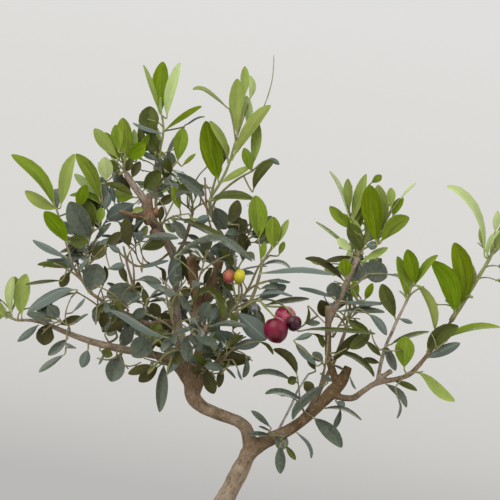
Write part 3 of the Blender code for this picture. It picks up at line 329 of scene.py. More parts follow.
LIMBS = (
    Limb("trunk",
         ((-25, 0, 54.3), (-25, 0.5, 66), (-21, 3, 90), (-11.5, 3, 113), (-2.1, 1, 132), (7.2, -1, 150),
          (15, -1, 166)), 8.6, 5.2),
    Limb("left_bough",
         ((14.5, -1, 165), (12.6, -1.5, 176.5), (7.9, -2, 182.3), (0, -3, 185.7), (-10, -4, 189.6),
          (-17.5, -4, 193.3), (-22.8, -4, 199.5), (-23, -3.5, 206), (-22.5, -2.5, 213), (-22, -2, 220)),
         4.7, 6.2, (4.7, 4.4, 4.0, 3.9, 4.1, 4.4, 4.9, 5.7, 6.4, 6.8)),
    Limb("right_bough",
         ((14.5, -1, 163), (20, -1, 167.8), (30, 0, 172.7), (40, 1, 177.8), (47.5, 1, 182.9),
          (60, 0, 194.4), (67, -1, 201.8), (73.5, -2, 208.8), (78.3, -2, 218.8)), 4.9, 3.7,
         (5, 5, 4.4, 3.8, 3.6, 4.0, 4.4, 4.1, 2.8)),
    Limb("lower_left_bough",
         ((-23, -4, 215), (-32, -9, 222), (-45, -13, 226), (-60, -16, 229), (-75, -17, 232),
          (-90, -16, 236), (-105, -14, 241.5), (-118, -11, 247), (-128, -9, 249), (-134, -9, 249)), 2.5,
         1.1, (2.8, 2.7, 2.6, 2.6, 2.5, 2.2, 1.8, 1.5, 1.2, 1.0)),
    Limb("upper_left_bough",
         ((-23, -1, 215), (-29, 7, 232), (-33, 11, 250), (-34, 12, 268), (-34, 11, 284), (-38, 8, 296),
          (-44, 6, 306), (-50.5, 4, 314.5), (-54, 4, 326), (-61, 4, 335.5), (-66.5, 3, 344.5)), 3.6, 2.0,
         (3.6, 2.8, 2.4, 2.4, 2.6, 2.9, 2.8, 3.1, 2.6, 2.3, 1.9)),
    Limb("centre_bough",
         ((-21, -2, 216), (-17, -3, 235), (-18, -1, 250), (-13, 2, 266), (-8, 5, 279), (-5, 8, 290),
          (-3, 9, 301)), 4.0, 2.8),
    Limb("cut_stump", ((-18, -1, 250), (-20.4, -6, 264), (-22.6, -8, 279), (-23.8, -9, 290.5)), 3.1, 2.9,
         (3.6, 3.4, 3.3, 3.2)),
    Limb("front_bough", ((-22, -4, 213), (-27, -16, 222), (-31, -29, 231), (-33, -42, 241)), 2.4, 1.2),
    Limb("back_bough", ((-21, -2, 212), (-17, 12, 222), (-10, 27, 237), (-4, 40, 254)), 2.8, 1.5),
    Limb("lesser_left_bough",
         ((-33, 10, 247), (-42, 2, 248), (-52, -3, 247), (-65, -5, 253), (-76, -6, 258), (-88, -7, 266)),
         1.7, 1.2),
    Limb("crown_back_bough", ((-34, 11, 280), (-33, 22, 291), (-28, 34, 303), (-24, 44, 318)), 1.8, 1.1),
    Limb("right_upright_bough",
         ((71, -2, 207), (67.5, -5, 217), (65, -6, 227), (65, -6, 242), (65, -6, 258.5)), 2.7, 2.4,
         (2.7, 2.5, 2.2, 2.1, 2.2)),
    Limb("knuckle_bough", ((65, -6, 247), (71, -7, 260), (76, -7, 271), (81, -7, 282), (84, -7, 290)), 1.9,
         2.2),
    Limb("lower_right_bough",
         ((67.5, -1, 200), (80, -4, 198.3), (87.5, -6, 202.9), (96, -7, 208.3), (110, -6, 211),
          (118, -5, 214), (125, -4, 221), (133, -2, 231), (140, 0, 240), (146, 1, 250)), 2.2, 1.2),
    Limb("right_twig_bough",
         ((96.5, -7, 208), (99, -9, 221), (102, -10, 232), (106, -11, 241), (109, -11, 248),
          (113, -10, 256), (116, -9, 262)), 1.4, 1.0),
    Limb("right_back_bough", ((54, 1, 191), (60, 14, 203), (69, 27, 220), (77, 37, 240)), 1.9, 1.2),
    Limb("right_front_bough", ((50, 0, 187.5), (54, -14, 195), (59, -27, 206), (62, -38, 219)), 1.6, 1.0),
    Limb("grey_cut_twig",
         ((31, 0, 174), (35.5, 6, 182.3), (41.5, 10, 193.5), (45.2, 11, 202.3), (48, 12, 206.5),
          (52.5, 12, 213.5)), 1.1, 0.9),
    Limb("front_cut_twig",
         ((-18, -2, 247), (-23, -15, 252), (-29, -19, 261), (-36, -22, 269), (-44, -24, 277)), 0.9, 0.7),
    Limb("dead_twig", ((-51.5, 3, 315), (-57, 0, 316), (-63, -3, 317.5), (-71, -5, 320)), 1.1, 0.8,
         (3.2, 2.3, 1.7, 1.1)),
    Limb("top_cut_twig", ((-4, 8.5, 297), (-11, 0, 309), (-14, -4, 324), (-15, -5, 342)), 0.9, 0.8),
)
SPRAYS = (
    Spray("far_left_spray", "lower_left_bough", 1.0, ((-143, -10, 252), (-150, -10, 261)), 0.9, 2, 25,
          YOUNG,
          (Shoot(0.15, (-134, -6, 256), 1, 20, YOUNG, 20), Shoot(0.3, (-139, 4, 258), 1, 24, YOUNG, 70))),
    Spray("left_spray", "lesser_left_bough", 1.0,
          ((-94, -8, 274), (-100, -10, 284), (-104, -10, 297), (-108, -9, 311), (-111, -8, 321)), 1.0, 4,
          28, GROWN,
          (Shoot(0.02, (-81, -5, 325), 5, 28, GROWN, 40), Shoot(0.2, (-112, -20, 286), 1, 24, GROWN, 30),
           Shoot(0.05, (-70, 6, 327), 2, 29, GROWN, 60), Shoot(0.2, (-97, 14, 298), 1, 28, GROWN, 60)),
          twist=70),
    Spray("crown_left_spray", "upper_left_bough", 1.0, ((-67, 2, 351), (-67, 1, 358)), 1.0, 2, 21, YOUNG,
          (Shoot(0.2, (-76, 1, 355), 1, 20, YOUNG, 20), Shoot(0.3, (-60, 4, 356), 1, 19, YOUNG, 70),
           Shoot(0.1, (-69, 12, 356), 2, 21, YOUNG, 10)), twist=45, bare=0.2),
    Spray("crown_top_spray", "upper_left_bough", 0.8,
          ((-47, 5, 338), (-45, 6, 350), (-44, 6, 361), (-42, 5, 372), (-43, 4, 382)), 1.1, 4, 25, YOUNG,
          (Shoot(0.2, (-33, 3, 352), 2, 25, GROWN, 20), Shoot(0.28, (-47, -8, 358), 2, 24, GROWN, 50),
           Shoot(0.25, (-38, 20, 358), 2, 26, YOUNG, 0)), twist=30),
    Spray("crown_right_spray", "centre_bough", 1.0,
          ((-9, 9, 313), (-12, 9, 326), (-6, 8, 337), (0, 7, 349), (5, 6, 366)), 1.2, 4, 28, YOUNG,
          (Shoot(0.3, (16, 4, 346), 2, 23, GROWN, 30), Shoot(0.35, (-4, 24, 352), 2, 26, YOUNG, 60),
           Shoot(0.2, (-24, 15, 340), 2, 27, GROWN, 10)), twist=70, bare=0.25),
    Spray("middle_right_spray", "centre_bough", 0.85,
          ((4, 0, 297), (12, -5, 301), (19, -7, 304), (28, -8, 301)), 0.9, 2, 26, GROWN,
          (Shoot(0.35, (7, -10, 311), 2, 28, GROWN, 20), Shoot(0.3, (17, 8, 311), 2, 28, GROWN, 50)),
          twist=60),
    Spray("inner_left_spray", "upper_left_bough", 0.68, ((-43, -4, 310), (-39, -10, 318), (-34, -13, 328)),
          0.8, 3, 26, GROWN,
          (Shoot(0.2, (-50, -12, 318), 2, 25, GROWN, 60), Shoot(0.4, (-25, -12, 318), 2, 25, GROWN, 20)),
          twist=20, fruits=(Fruit(0.2, (-46.8, -1, 318.5), 5.8, 6.6),)),
    Spray("middle_left_spray", "upper_left_bough", 0.58,
          ((-45, 1, 287.5), (-53, -3, 285), (-60, -6, 284), (-65, -7, 289), (-68, -7, 297)), 0.8, 3, 26,
          GROWN,
          (Shoot(0.4, (-57, -12, 299), 2, 26, GROWN, 10), Shoot(0.6, (-76, -8, 302), 2, 25, GROWN, 50),
           Shoot(0.5, (-60, 12, 304), 2, 26, GROWN, 20)), twist=20),
    Spray("middle_front_spray", "cut_stump", 0.45, ((-19, -22, 274), (-16, -27, 284), (-13, -29, 295)),
          0.8, 3, 28, GROWN,
          (Shoot(0.4, (-31, -28, 288), 3, 26, GROWN, 30), Shoot(0.55, (2, -28, 292), 2, 27, GROWN, 60))),
    Spray("left_low_spray", "lesser_left_bough", 0.6, ((-70, -14, 262), (-77, -18, 268), (-86, -20, 272)),
          0.8, 3, 25, GROWN,
          (Shoot(0.3, (-62, -24, 272), 3, 25, GROWN, 40), Shoot(0.4, (-84, -26, 258), 2, 22, SHADED, 10)),
          twist=70),
    Spray("lower_left_spray", "lower_left_bough", 0.72,
          ((-103, -20, 246), (-111, -22, 250), (-119, -22, 250)), 0.7, 2, 25, GROWN,
          (Shoot(0.2, (-104, -26, 232), 2, 19, SHADED, 40), Shoot(0.5, (-120, -18, 240), 1, 18, SHADED, 0),
           Shoot(0.3, (-101, -16, 264), 2, 24, GROWN, 80)), twist=10, bare=0.3),
    Spray("under_left_spray", "lower_left_bough", 0.42,
          ((-71, -22, 226), (-76, -25, 224), (-84, -27, 225)), 0.8, 2, 20, SHADED,
          (Shoot(0.3, (-68, -28, 237), 2, 23, GROWN, 50), Shoot(0.2, (-64, -22, 218), 1, 19, SHADED, 30)),
          twist=0),
    Spray("hanging_spray", "lower_left_bough", 0.16, ((-42, -18, 221), (-48, -22, 223), (-54, -24, 225)),
          0.8, 2, 21, SHADED, (Shoot(0.4, (-52, -28, 238), 3, 23, GROWN, 20),), twist=30),
    Spray("lower_centre_spray", "left_bough", 0.93, ((-12, -12, 219), (-3, -17, 226), (7, -19, 233)), 0.9,
          2, 27, GROWN,
          (Shoot(0.2, (-8, -18, 212), 2, 16, SHADED, 20), Shoot(0.4, (3, -28, 224), 1, 25, GROWN, 70),
           Shoot(0.5, (-10, -26, 238), 2, 25, GROWN, 40)), twist=15),
    Spray("olive_spray", "centre_bough", 0.28,
          ((-8, -12, 245), (1, -15, 254), (9, -15, 263), (15, -14, 273), (20, -13, 284), (27, -12, 291)),
          1.1, 4, 24, GROWN,
          (Shoot(0.35, (19, -8, 263), 2, 25, GROWN, 80), Shoot(0.6, (27, -18, 275), 2, 25, GROWN, 70),
           Shoot(0.5, (4, -24, 284), 1, 23, GROWN, 20)), twist=40,
          fruits=(Fruit(0.22, (31, -25, 243), 15.7, 17, ((17, -18, 261.6), (24, -21, 257.6))),
                  Fruit(0.22, (37.2, -9.5, 251.2), 14, 14.5, ((17, -17.5, 261.4), (25, -17, 258.4))),
                  Fruit(0.22, (42.4, -19, 247.4), 10.4, 10.8,
                        ((17, -17, 261.2), (30, -8, 261.5), (39, -17, 256))),
                  Fruit(0.45, (1, -19, 277.5), 8, 9), Fruit(0.48, (7.5, -25, 277.5), 7, 10))),
    Spray("front_spray", "front_bough", 1.0, ((-35, -52, 250), (-38, -60, 262), (-39, -64, 274)), 0.9, 3,
          27, GROWN,
          (Shoot(0.1, (-52, -50, 254), 2, 25, GROWN, 20), Shoot(0.2, (-18, -56, 252), 2, 26, GROWN, 60),
           Shoot(0.15, (-36, -60, 236), 1, 20, SHADED, 10),
           Shoot(0.5, (-26, -56, 276), 2, 25, GROWN, 30))),
    Spray("back_spray", "back_bough", 1.0, ((-2, 49, 266), (-1, 57, 280), (2, 62, 296)), 1.0, 3, 28, GROWN,
          (Shoot(0.1, (-20, 56, 266), 1, 27, GROWN, 20), Shoot(0.15, (16, 52, 264), 1, 26, GROWN, 60),
           Shoot(0.3, (-14, 46, 292), 2, 27, GROWN, 30), Shoot(0.2, (4, 68, 262), 2, 22, SHADED, 80))),
    Spray("back_low_spray", "back_bough", 0.45, ((-22, 31, 230), (-32, 38, 232), (-44, 43, 236)), 0.9, 2,
          26, GROWN,
          (Shoot(0.3, (-24, 50, 240), 2, 25, GROWN, 30), Shoot(0.5, (-42, 36, 252), 2, 26, GROWN, 60))),
    Spray("back_left_spray", "lower_left_bough", 0.5,
          ((-72, -4, 238), (-76, 10, 246), (-80, 24, 256), (-84, 36, 268)), 0.9, 3, 27, GROWN,
          (Shoot(0.4, (-62, 18, 262), 2, 26, GROWN, 10), Shoot(0.6, (-98, 24, 266), 2, 25, GROWN, 50),
           Shoot(0.5, (-74, 34, 246), 1, 22, SHADED, 70))),
    Spray("crown_back_spray", "crown_back_bough", 1.0, ((-24, 50, 326), (-26, 54, 338)), 0.9, 3, 26, YOUNG,
          (Shoot(0.1, (-42, 48, 330), 2, 28, GROWN, 20), Shoot(0.2, (-8, 48, 328), 2, 24, YOUNG, 60),
           Shoot(0.15, (-28, 66, 324), 1, 27, GROWN, 40))),
    Spray("low_right_spray", "right_bough", 0.3, ((34, -8, 172), (37, -12, 171)), 0.8, 2, 17, SHADED,
          (Shoot(0.3, (26, -12, 176), 1, 17, SHADED, 20),), twist=80),
    Spray("right_inner_spray", "right_bough", 0.52, ((47, -8, 195), (46, -12, 204), (45, -13, 213)), 0.8,
          3, 24, GROWN,
          (Shoot(0.1, (54, -13, 187), 1, 18, SHADED, 30), Shoot(0.3, (55, -12, 207), 2, 21, GROWN, 60),
           Shoot(0.3, (38, -10, 202), 1, 25, GROWN, 0)), twist=25),
    Spray("right_front_spray", "right_front_bough", 1.0, ((63, -46, 228), (64, -50, 240)), 0.8, 2, 25,
          GROWN,
          (Shoot(0.1, (52, -48, 228), 2, 24, GROWN, 20), Shoot(0.2, (76, -46, 232), 2, 25, GROWN, 60))),
    Spray("right_back_spray", "right_back_bough", 1.0, ((80, 46, 254), (83, 52, 268), (84, 54, 282)), 0.9,
          3, 28, GROWN,
          (Shoot(0.1, (66, 50, 256), 1, 26, GROWN, 20), Shoot(0.2, (96, 46, 258), 2, 26, GROWN, 60),
           Shoot(0.15, (84, 64, 254), 1, 22, SHADED, 40), Shoot(0.5, (76, 40, 288), 2, 22, YOUNG, 0))),
    Spray("upright_spray", "right_upright_bough", 0.62, ((72, -12, 246), (77, -15, 252), (84, -16, 257)),
          0.8, 2, 24, GROWN,
          (Shoot(0.1, (58, -16, 252), 2, 18, SHADED, 40), Shoot(0.4, (80, -16, 243), 1, 19, SHADED, 10),
           Shoot(0.5, (77, -22, 264), 2, 23, GROWN, 70)), twist=75),
    Spray("knuckle_low_spray", "knuckle_bough", 0.55, ((80, -14, 270), (85, -16, 274), (90, -16, 279)),
          0.8, 3, 24, GROWN,
          (Shoot(0.3, (84, -12, 262), 1, 18, YOUNG, 40), Shoot(0.2, (72, -18, 282), 1, 21, GROWN, 10)),
          twist=35),
    Spray("knuckle_spray", "knuckle_bough", 1.0, ((86, -7, 295), (90, -7, 300), (98, -7, 306)), 1.1, 3, 24,
          YOUNG,
          (Shoot(0.04, (79, -7, 316), 3, 23, YOUNG, 50), Shoot(0.2, (96, -12, 298), 1, 18, YOUNG, 30),
           Shoot(0.08, (72, -10, 296), 1, 21, GROWN, 20), Shoot(0.3, (91, 8, 312), 2, 24, YOUNG, 60)),
          twist=70, bare=0.3),
    Spray("right_top_spray", "right_twig_bough", 1.0, ((118, -9, 268), (120, -9, 274)), 0.9, 2, 20, YOUNG,
          (Shoot(0.1, (111, -10, 268), 1, 18, YOUNG, 20), Shoot(0.25, (127, -10, 271), 1, 21, GROWN, 60),
           Shoot(0.15, (118, 3, 270), 2, 20, YOUNG, 40)), twist=70, bare=0.15),
    Spray("right_mid_spray", "right_twig_bough", 0.4, ((98, -17, 230), (94, -20, 236), (92, -20, 243)),
          0.7, 2, 23, GROWN, (Shoot(0.2, (104, -20, 229), 2, 21, GROWN, 40),), twist=10),
    Spray("right_under_spray", "lower_right_bough", 0.55,
          ((113, -13, 213), (118, -16, 215), (126, -16, 216)), 0.8, 1, 23, GROWN,
          (Shoot(0.1, (108, -14, 206), 1, 17, SHADED, 30),), twist=5),
    Spray("right_end_spray", "lower_right_bough", 0.82,
          ((134, -10, 229), (138, -12, 233), (142, -12, 236)), 0.8, 1, 25, GROWN,
          (Shoot(0.2, (136, 4, 226), 2, 24, GROWN, 60),), twist=25),
    Spray("right_tip_spray", "lower_right_bough", 1.0,
          ((152, 2, 259), (160, 3, 272), (168, 4, 285), (174, 4, 296)), 1.7, 4, 30, YOUNG,
          (Shoot(0.1, (142, 6, 262), 1, 25, YOUNG, 10), Shoot(0.3, (158, -10, 264), 1, 25, YOUNG, 60),
           Shoot(0.5, (160, 16, 284), 2, 26, YOUNG, 30)), twist=70),
)

# Two short stubs that cuts left, the shoulders of the elbow and the knots
SHOULDERS = (
    Limb("side_stub", ((97, -7, 209.5), (101, -8.5, 213), (106, -10, 216.5)), 1.9, 1.8),
    Limb("left_shoulder", ((-24, -4, 207), (-27.5, -6, 213), (-33, -9, 219), (-42, -12, 224)), 5, 2.6,
         (4.4, 4.2, 3.2, 2.6)),
    Limb("right_shoulder", ((-21, -4, 203), (-19, -5, 208), (-16.5, -5, 214), (-15, -4, 222)), 4, 3,
         (3.6, 3.4, 3.4, 3.4)),
    Limb("upper_knot", ((-50, 1, 312), (-51, -1, 316), (-50, -2, 320.5)), 4.4, 3.6, (4.2, 4.8, 3.4)),
    Limb("lower_knot", ((-42, 4, 300), (-46, 2, 304), (-49, 1, 308)), 4.4, 3.0, (3.8, 4.4, 2.8)),
    Limb("ruddy_stub", ((-50.5, 0, 313), (-50.8, -3, 321), (-51.2, -4, 331.5)), 2.2, 1.9, (3.0, 2.3, 1.9)),
    Limb("centre_knot", ((-18.5, -4, 246), (-19, -5, 251), (-17, -4, 256)), 4.6, 4, (4.2, 5.4, 4.2)),
)

# The thick of the crown from in front, where leaves that can't be told apart may show
THICK = (
    (-90, 308, 16), (-75, 250, 12), (-62, 238, 12), (-45, 250, 15), (-30, 240, 18), (-10, 235, 20),
    (6, 225, 13), (-2, 300, 14), (6, 316, 10), (-25, 308, 13), (-30, 330, 12), (-50, 332, 11),
    (-70, 332, 9), (-40, 272, 11), (-84, 270, 14), (-10, 258, 16), (10, 250, 13), (10, 285, 9),
    (-60, 310, 9), (53, 225, 7), (82, 284, 9), (88, 312, 13), (97, 320, 13), (-65, 362, 11), (-44, 350, 9),
    (-100, 290, 8), (30, 268, 8), (72, 262, 7),
)

# Boughs that show bare from in front
BARE_LIMBS = ("trunk", "left_bough", "right_bough", "right_upright_bough", "knuckle_bough", "cut_stump",
              "lower_right_bough", "right_twig_bough", "front_cut_twig", "top_cut_twig", "grey_cut_twig",
              "dead_twig")

# Above this height the upper left bough shows bare too, about this far to either side of its middle
BARE_FROM = 297.0
BARE_HALF = 3.0

# Leaves that can be told apart from in front, by tint: the width that shows, less than nothing where
# the leaf passes behind, then where the middle line shows across and up, from the twig to the tip
KNOWN = {
    # Pale leaves: partly their own paler green and partly painted light shining through them
    Tint.PALE: (
        (3.5, 168, 289, 170, 297, 173, 303, 176.5, 307), (6, -85, 330, -100, 344),
        (10, -79, 339.5, -80.2, 355), (6.5, -140.5, 251, -141.5, 264, -139.5, 277.5),
        (7.5, -40, 380, -38, 394, -34, 408, -31, 416.5), (2, -43, 380, -44, 394),
        (2, 79, 316, 72, 335, 66, 346), (6, 80, 294, 71, 302), (1.5, 112, 328, 122, 338),
        (5, 173.5, 306, 175.5, 320), (-6, 13, 371, 14, 383, 12, 395), (-5, 14, 392, 16, 400, 14, 408),
        (6, 167, 290, 165.5, 307, 160, 322, 151, 332, 142, 336),
    ),
    Tint.YOUNG: (
        (8, -110.5, 321, -118, 323.5, -125, 327.5, -132, 333),
        (9, -109, 322, -106, 337, -104, 347, -99.5, 357),
        (6.5, 120.5, 272.5, 125, 269.5, 130, 261.5, 133, 253, 134.3, 243),
        (10.8, -134, 251, -134.8, 259, -134.2, 266, -133, 273, -131, 279), (6, -144, 250, -152, 262),
        (3.5, -44, 383, -50, 400, -55, 415), (8.5, -71, 353.5, -79, 363, -87, 373.5),
        (5, -61, 356, -61, 373), (11, 6, 368, 6, 406), (6, 11, 394, 11, 414),
        (8.5, 2.3, 352.5, 9, 365.5, 15, 374.5, 22.3, 383.6, 28, 388.5),
        (5.5, 0.5, 352, -3, 364, -12, 378.5), (2, 0, 387, -8, 393, -17, 399, -23, 399),
        (5, -5, 338, 15, 349), (7, 15.5, 348, 18.5, 362, 19.5, 378), (6, 79, 320, 78, 341),
        (7, 81, 313, 90, 344), (6, 83, 310, 88, 333), (6, 106, 322, 106, 335), (5, 87, 287, 104, 296),
        (7.5, 122, 215.5, 128, 212, 134, 205, 140, 199.5, 147.5, 196), (11, 99, 303, 99.5, 318, 97.5, 337),
        (9, -72, 326, -67, 336), (4.6, 32, 298, 39.3, 314.3), (4, -63, 318, -60, 320.5, -55, 321),
    ),
    Tint.DEEP: (
        (10.5, -104, 298, -109, 307.5, -114, 313.5, -119.5, 319.5), (8, -98, 322, -92, 337),
        (11, -43.5, 382, -44.5, 398, -42.3, 417), (4.5, -42, 372, -17, 388), (10, -65.5, 352, -54, 364),
        (5, -60, 352, -51, 370), (14.5, -6, 338, -10.8, 360, -14.5, 378.5),
        (14, 97, 297, 95, 312, 93, 325, 92, 337), (6, 107, 316, 109.5, 323, 114, 328.5),
        (9, 76, 276, 76, 289), (5, 89, 262, 94, 273), (10, 121, 271, 120, 281, 116.5, 295),
        (13, 148, 252, 146, 265, 142, 277, 132.5, 287.5),
        (13.5, 150, 256, 153.5, 270, 152.5, 284, 147, 299.5),
    ),
    Tint.OLIVE: (
        (4.5, 137, 235, 145, 239, 155, 242.6, 165, 244.3, 177, 244.3),
        (8.5, -112, 321, -118, 335, -127, 346, -141, 356.5), (4.5, -60, 328.5, -65, 329, -71, 326),
        (9, -83, 326, -86, 336, -91, 346.5, -99, 357), (4, -79, 322, -90, 329, -103, 330),
        (6, -84, 311, -82, 322), (9.5, -33, 351, -31, 363, -29, 374), (3, -30, 349, -21, 357),
        (9.5, -70, 352, -76, 362, -80, 371), (8, -71, 358, -73, 376), (10.5, -66, 353, -68.5, 380.5),
        (7, 15, 345.5, 13, 353, 10.5, 361), (6, -31, 320, -36, 336), (13, 114.5, 217, 115, 238.5),
        (5, 93, 338, 100, 343), (10.5, 99, 299, 105, 308, 111, 313, 118, 315.5), (6, 83, 262, 82, 275),
        (7.5, 116, 262, 115, 272, 113, 280, 110, 290.5), (5, 121, 271, 125, 278, 130, 285.5, 136.5, 291.3),
        (2.5, 80, 295, 69, 303.5, 57, 313), (2.2, 13, 371, 17, 379, 21, 385), (7, 79, 308, 66, 323),
        (4, 33, 291, 36.5, 300), (4.5, 21.5, 288, 24, 300), (10.2, 29, 295, 29.3, 305, 29.3, 316.3),
        (12.5, 20, 301, 19.8, 315, 17.8, 330),
    ),
    Tint.GREEN: (
        (6.5, 77, 250, 82.5, 245.8, 88, 242.3, 92, 238), (3.5, 66, 228, 78, 226, 90, 218, 95, 212),
        (3.2, 105, 233, 112, 236.2, 121, 239.2, 131, 241.5), (5.5, -59, 356, -56, 365, -57.5, 375),
        (2.2, -25, 296.5, -19, 295.5, -15, 290, -11, 286.5), (5, -41.5, 312, -38, 309.5, -34.5, 306),
        (4.5, -100, 283, -113, 284.3, -124, 285), (2.5, -108, 275, -132, 272), (9, -104, 300, -91, 300),
        (12, -87, 308, -91, 318, -92, 327), (5, -82, 338, -72, 335.5, -62, 330), (6, -83, 229, -75, 226),
        (13.5, -47, 366, -51.3, 376, -50.5, 388), (9.5, -44.5, 356, -49, 363, -51, 371),
        (6, -70, 344, -77, 352), (7, 16.2, 332.3, 19, 341.5, 24.5, 348.8, 30, 352.3),
        (10, -55, 333, -44, 346), (5, -37, 315, -25, 313, -10, 305, 0, 298, 15, 288),
        (6, 19, 300, 25, 308), (6, -12.5, 326.5, -5, 329, 5, 329.5, 17, 327.5),
        (4, -25, 258, -20, 265, -12, 268, -5, 260, -3, 250), (4, 37, 168, 44, 158), (6, 45, 212, 39, 208),
        (4, 100, 225, 90, 235), (9.5, 109, 249, 106.5, 256, 103, 264, 100, 272.5), (4, 107, 210, 123, 203),
        (11, 129, 228, 135, 236.5, 142, 242, 150, 245), (10, 88, 292, 79, 312),
        (4.5, -5, 275.5, 0, 271.5, 4.5, 268), (2.5, 20, 235, 25, 232.5, 29.5, 226.5),
        (8, 93, 243, 87, 236, 79, 230.5), (4, 55, 240, 60, 238, 62, 231),
        (-1.5, 45, 242, 57, 243, 67, 242, 96, 240), (2.4, 52, 258, 52.5, 252, 50.5, 246),
        (7, -56.5, 294.5, -49, 297.5, -41, 298.5), (4.5, 3, 242, 4.5, 248, 2, 254),
    ),
    Tint.BLUE: (
        (4, -12, 245, 0, 246, 12, 244.5), (4, -86, 300.5, -81, 307, -76, 312),
        (7, -36.5, 314, -31.5, 309, -29, 301.5), (3, -25, 310.5, -19, 308.8, -12.5, 305),
        (3.5, -27, 304.5, -23, 303, -18.5, 301.5), (1.8, -52, 262.5, -46, 267.5, -40.5, 271),
        (2, -52, 263, -46, 265, -40.5, 266.8), (15, -90, 300, -103, 326),
        (15.5, -91, 266.5, -87.5, 276, -84.5, 285.5), (14, -56.5, 266.5, -67, 266.5, -79, 266),
        (5.5, -113, 247.5, -122, 251, -131, 253), (8.5, -109.5, 250, -117, 258.5),
        (6, -104, 237, -117, 226), (4.5, -106, 227, -123, 215), (7.8, -41.5, 221, -43.5, 205, -44.5, 189),
        (5, -86, 246, -86, 256), (2, -100, 247, -91, 253), (9, -62, 246, -69, 232),
        (7, -63, 250, -53, 256), (14, -50, 239, -62, 225),
        (8, -35.5, 346, -27, 340, -20.5, 334.5, -15.5, 329.5), (1.5, -47, 331, -38, 336, -32, 337),
        (5, -57, 303, -32, 302), (11, -9, 323, -5, 315, -1, 308),
        (5, -35, 290, -25, 297, -10, 302, 0, 299, 16, 287), (9, -17, 246, -15.5, 254, -12.5, 261),
        (1.8, -3, 219, 5, 211), (8, -28, 240, -26, 222), (6, -23, 243, -22, 233), (7, 34, 168, 34, 149),
        (4, 28, 179, 15, 190), (3, 29, 174, 13, 175), (1.5, 29, 176, 20, 180), (9, 36, 176, 34, 164),
        (4, 50, 196, 43, 199.2, 36.5, 201.4, 29.5, 202.2, 24, 201),
        (3.5, 42, 209.8, 34, 212.7, 27, 214.2, 20.5, 214, 16, 212.2),
        (6, 65, 208.5, 56, 201, 49, 194.8, 44.5, 190, 42, 184), (4, 50, 247, 60, 247),
        (6, 62, 222, 55, 228), (1.5, 68, 220, 76, 216), (3, 60, 214, 68, 209),
        (9.5, 55, 186, 60, 181.8, 66, 176.5, 70.5, 171.5, 74, 166), (6, 102, 233, 109, 216),
        (5, 102, 208, 112, 200, 116, 192), (1.5, 110, 200, 112, 193, 110, 185), (10, 70, 261, 68, 273.5),
        (4, 71, 255, 102, 254), (6, -100, 304, -108, 312), (14, 86, 286, 94, 281.5, 103.5, 277),
        (-1, 103, 279, 110, 277.5, 113, 276.5), (4, 73, 192, 72.5, 186, 69, 178),
        (12.5, -69.5, 228.5, -73, 218, -76, 208.8), (2.5, 21, 284, 28, 286.5, 35, 286, 40.5, 283),
        (3.6, 21, 269, 26, 270.8, 32, 269.8), (4.5, -60, 275, -52, 275.8, -43, 272.5),
        (5, -30, 266, -28, 259, -23, 256),
    ),
    Tint.GREY: (
        (3.5, -18, 245.5, -27, 243.5, -38, 239.5), (4.5, -73.5, 324.5, -75, 330, -76, 336.5),
        (5, -80.5, 320, -78.5, 326, -76.5, 331), (3.2, -63.5, 259.5, -60, 262.5, -56, 265),
        (4.5, -104, 289, -127, 301), (1.5, -91, 290, -118, 288), (3, -89, 291, -98, 281),
        (11, -60, 325, -79, 315), (4, -78, 298, -70, 293), (5, -78, 282, -67, 285),
        (7.5, -98, 268.5, -106, 268.5, -112, 266.3, -118, 263, -125, 258.5, -130.5, 253.5),
        (5, -123, 246, -137, 235), (7, -91, 230, -95, 218), (2, -80, 228, -84, 220),
        (2.5, -101, 254, -93, 263), (2, -99, 231, -106, 234),
        (4.5, -38, 237, -49, 240.5, -60, 247, -69, 252.5, -77, 255.5),
        (5, -56, 275, -50, 272.8, -41, 269.7, -34.5, 265.3, -30, 262), (3, -43, 370, -62, 377),
        (4, -43, 352, -56, 358), (2.5, -41, 351, -38, 362, -33, 370, -28, 375),
        (1.2, -28, 375, -20, 380.5, -15, 381), (5, -38, 312, -32, 307), (5, -22, 313, -12, 316),
        (9.5, -34, 296, -34.5, 281, -35, 270), (6, -12, 247, -5.5, 258), (4, -25, 246, -18, 249),
        (13, 5, 255, 25, 236), (7, 3, 231, 21, 235), (7, -8, 243, 0, 235), (6, -40, 239, -30, 233),
        (4, -40, 213, -31, 224), (4, -4, 272, 3, 262), (2, 44, 176, 52, 170, 55, 163, 54, 159),
        (5, 58, 219, 50, 228, 44, 234), (4, 43, 236, 55, 240),
        (5.5, 91, 253, 97, 249, 101, 243.5, 103, 239), (1.5, 79, 212, 83, 204), (5, 70, 196, 76, 193),
        (3, 111, 250, 120, 247), (7, 129, 224, 139, 229, 151, 234), (6, 90, 298, 97, 297),
        (3, 73, 261, 102, 260), (-3.5, 24, 352.5, 29, 353, 33.5, 350), (1.8, 6, 218, 9, 210),
        (2.6, 20, 278.5, 31, 281, 45, 283, 57, 282, 69, 278.5),
        (2, 23, 273, 29, 275.2, 35, 275, 40.5, 273.3), (2, 18, 264, 25, 267, 33, 267.8, 42, 264.3),
        (2.2, 70, 263, 62, 266.8, 54, 269.3, 46, 269.8),
        (2.6, -56.5, 282.5, -50, 285.5, -44, 287.2, -38.5, 287.5), (3, -91, 293, -95, 296, -98, 294),
    ),
    # Dark brown leaves: painted shade, for leaves deep in the crown's shade
    Tint.BROWN: (
        (6, -31.5, 266, -35, 262, -36.5, 256.5), (7, -31, 229.5, -34.5, 220),
        (2.5, 62, 192, 75, 191, 87, 184), (6, -62.5, 341, -60, 347, -57, 352),
        (5, -66, 345, -64, 350, -63.5, 354), (3, -71, 344, -67, 338.5, -63.5, 333),
        (4.5, -44.5, 312, -43.5, 318, -43, 323), (3, -46, 283.5, -42.5, 281.5, -41.8, 277, -42, 272),
        (5, -55.5, 270.5, -54, 265, -52.5, 258), (2, -52.5, 260.5, -47, 261.4, -40.5, 262),
        (7, -23.5, 268, -27, 267.5, -31, 268.5), (4, -15.5, 271, -14, 277, -10.5, 283),
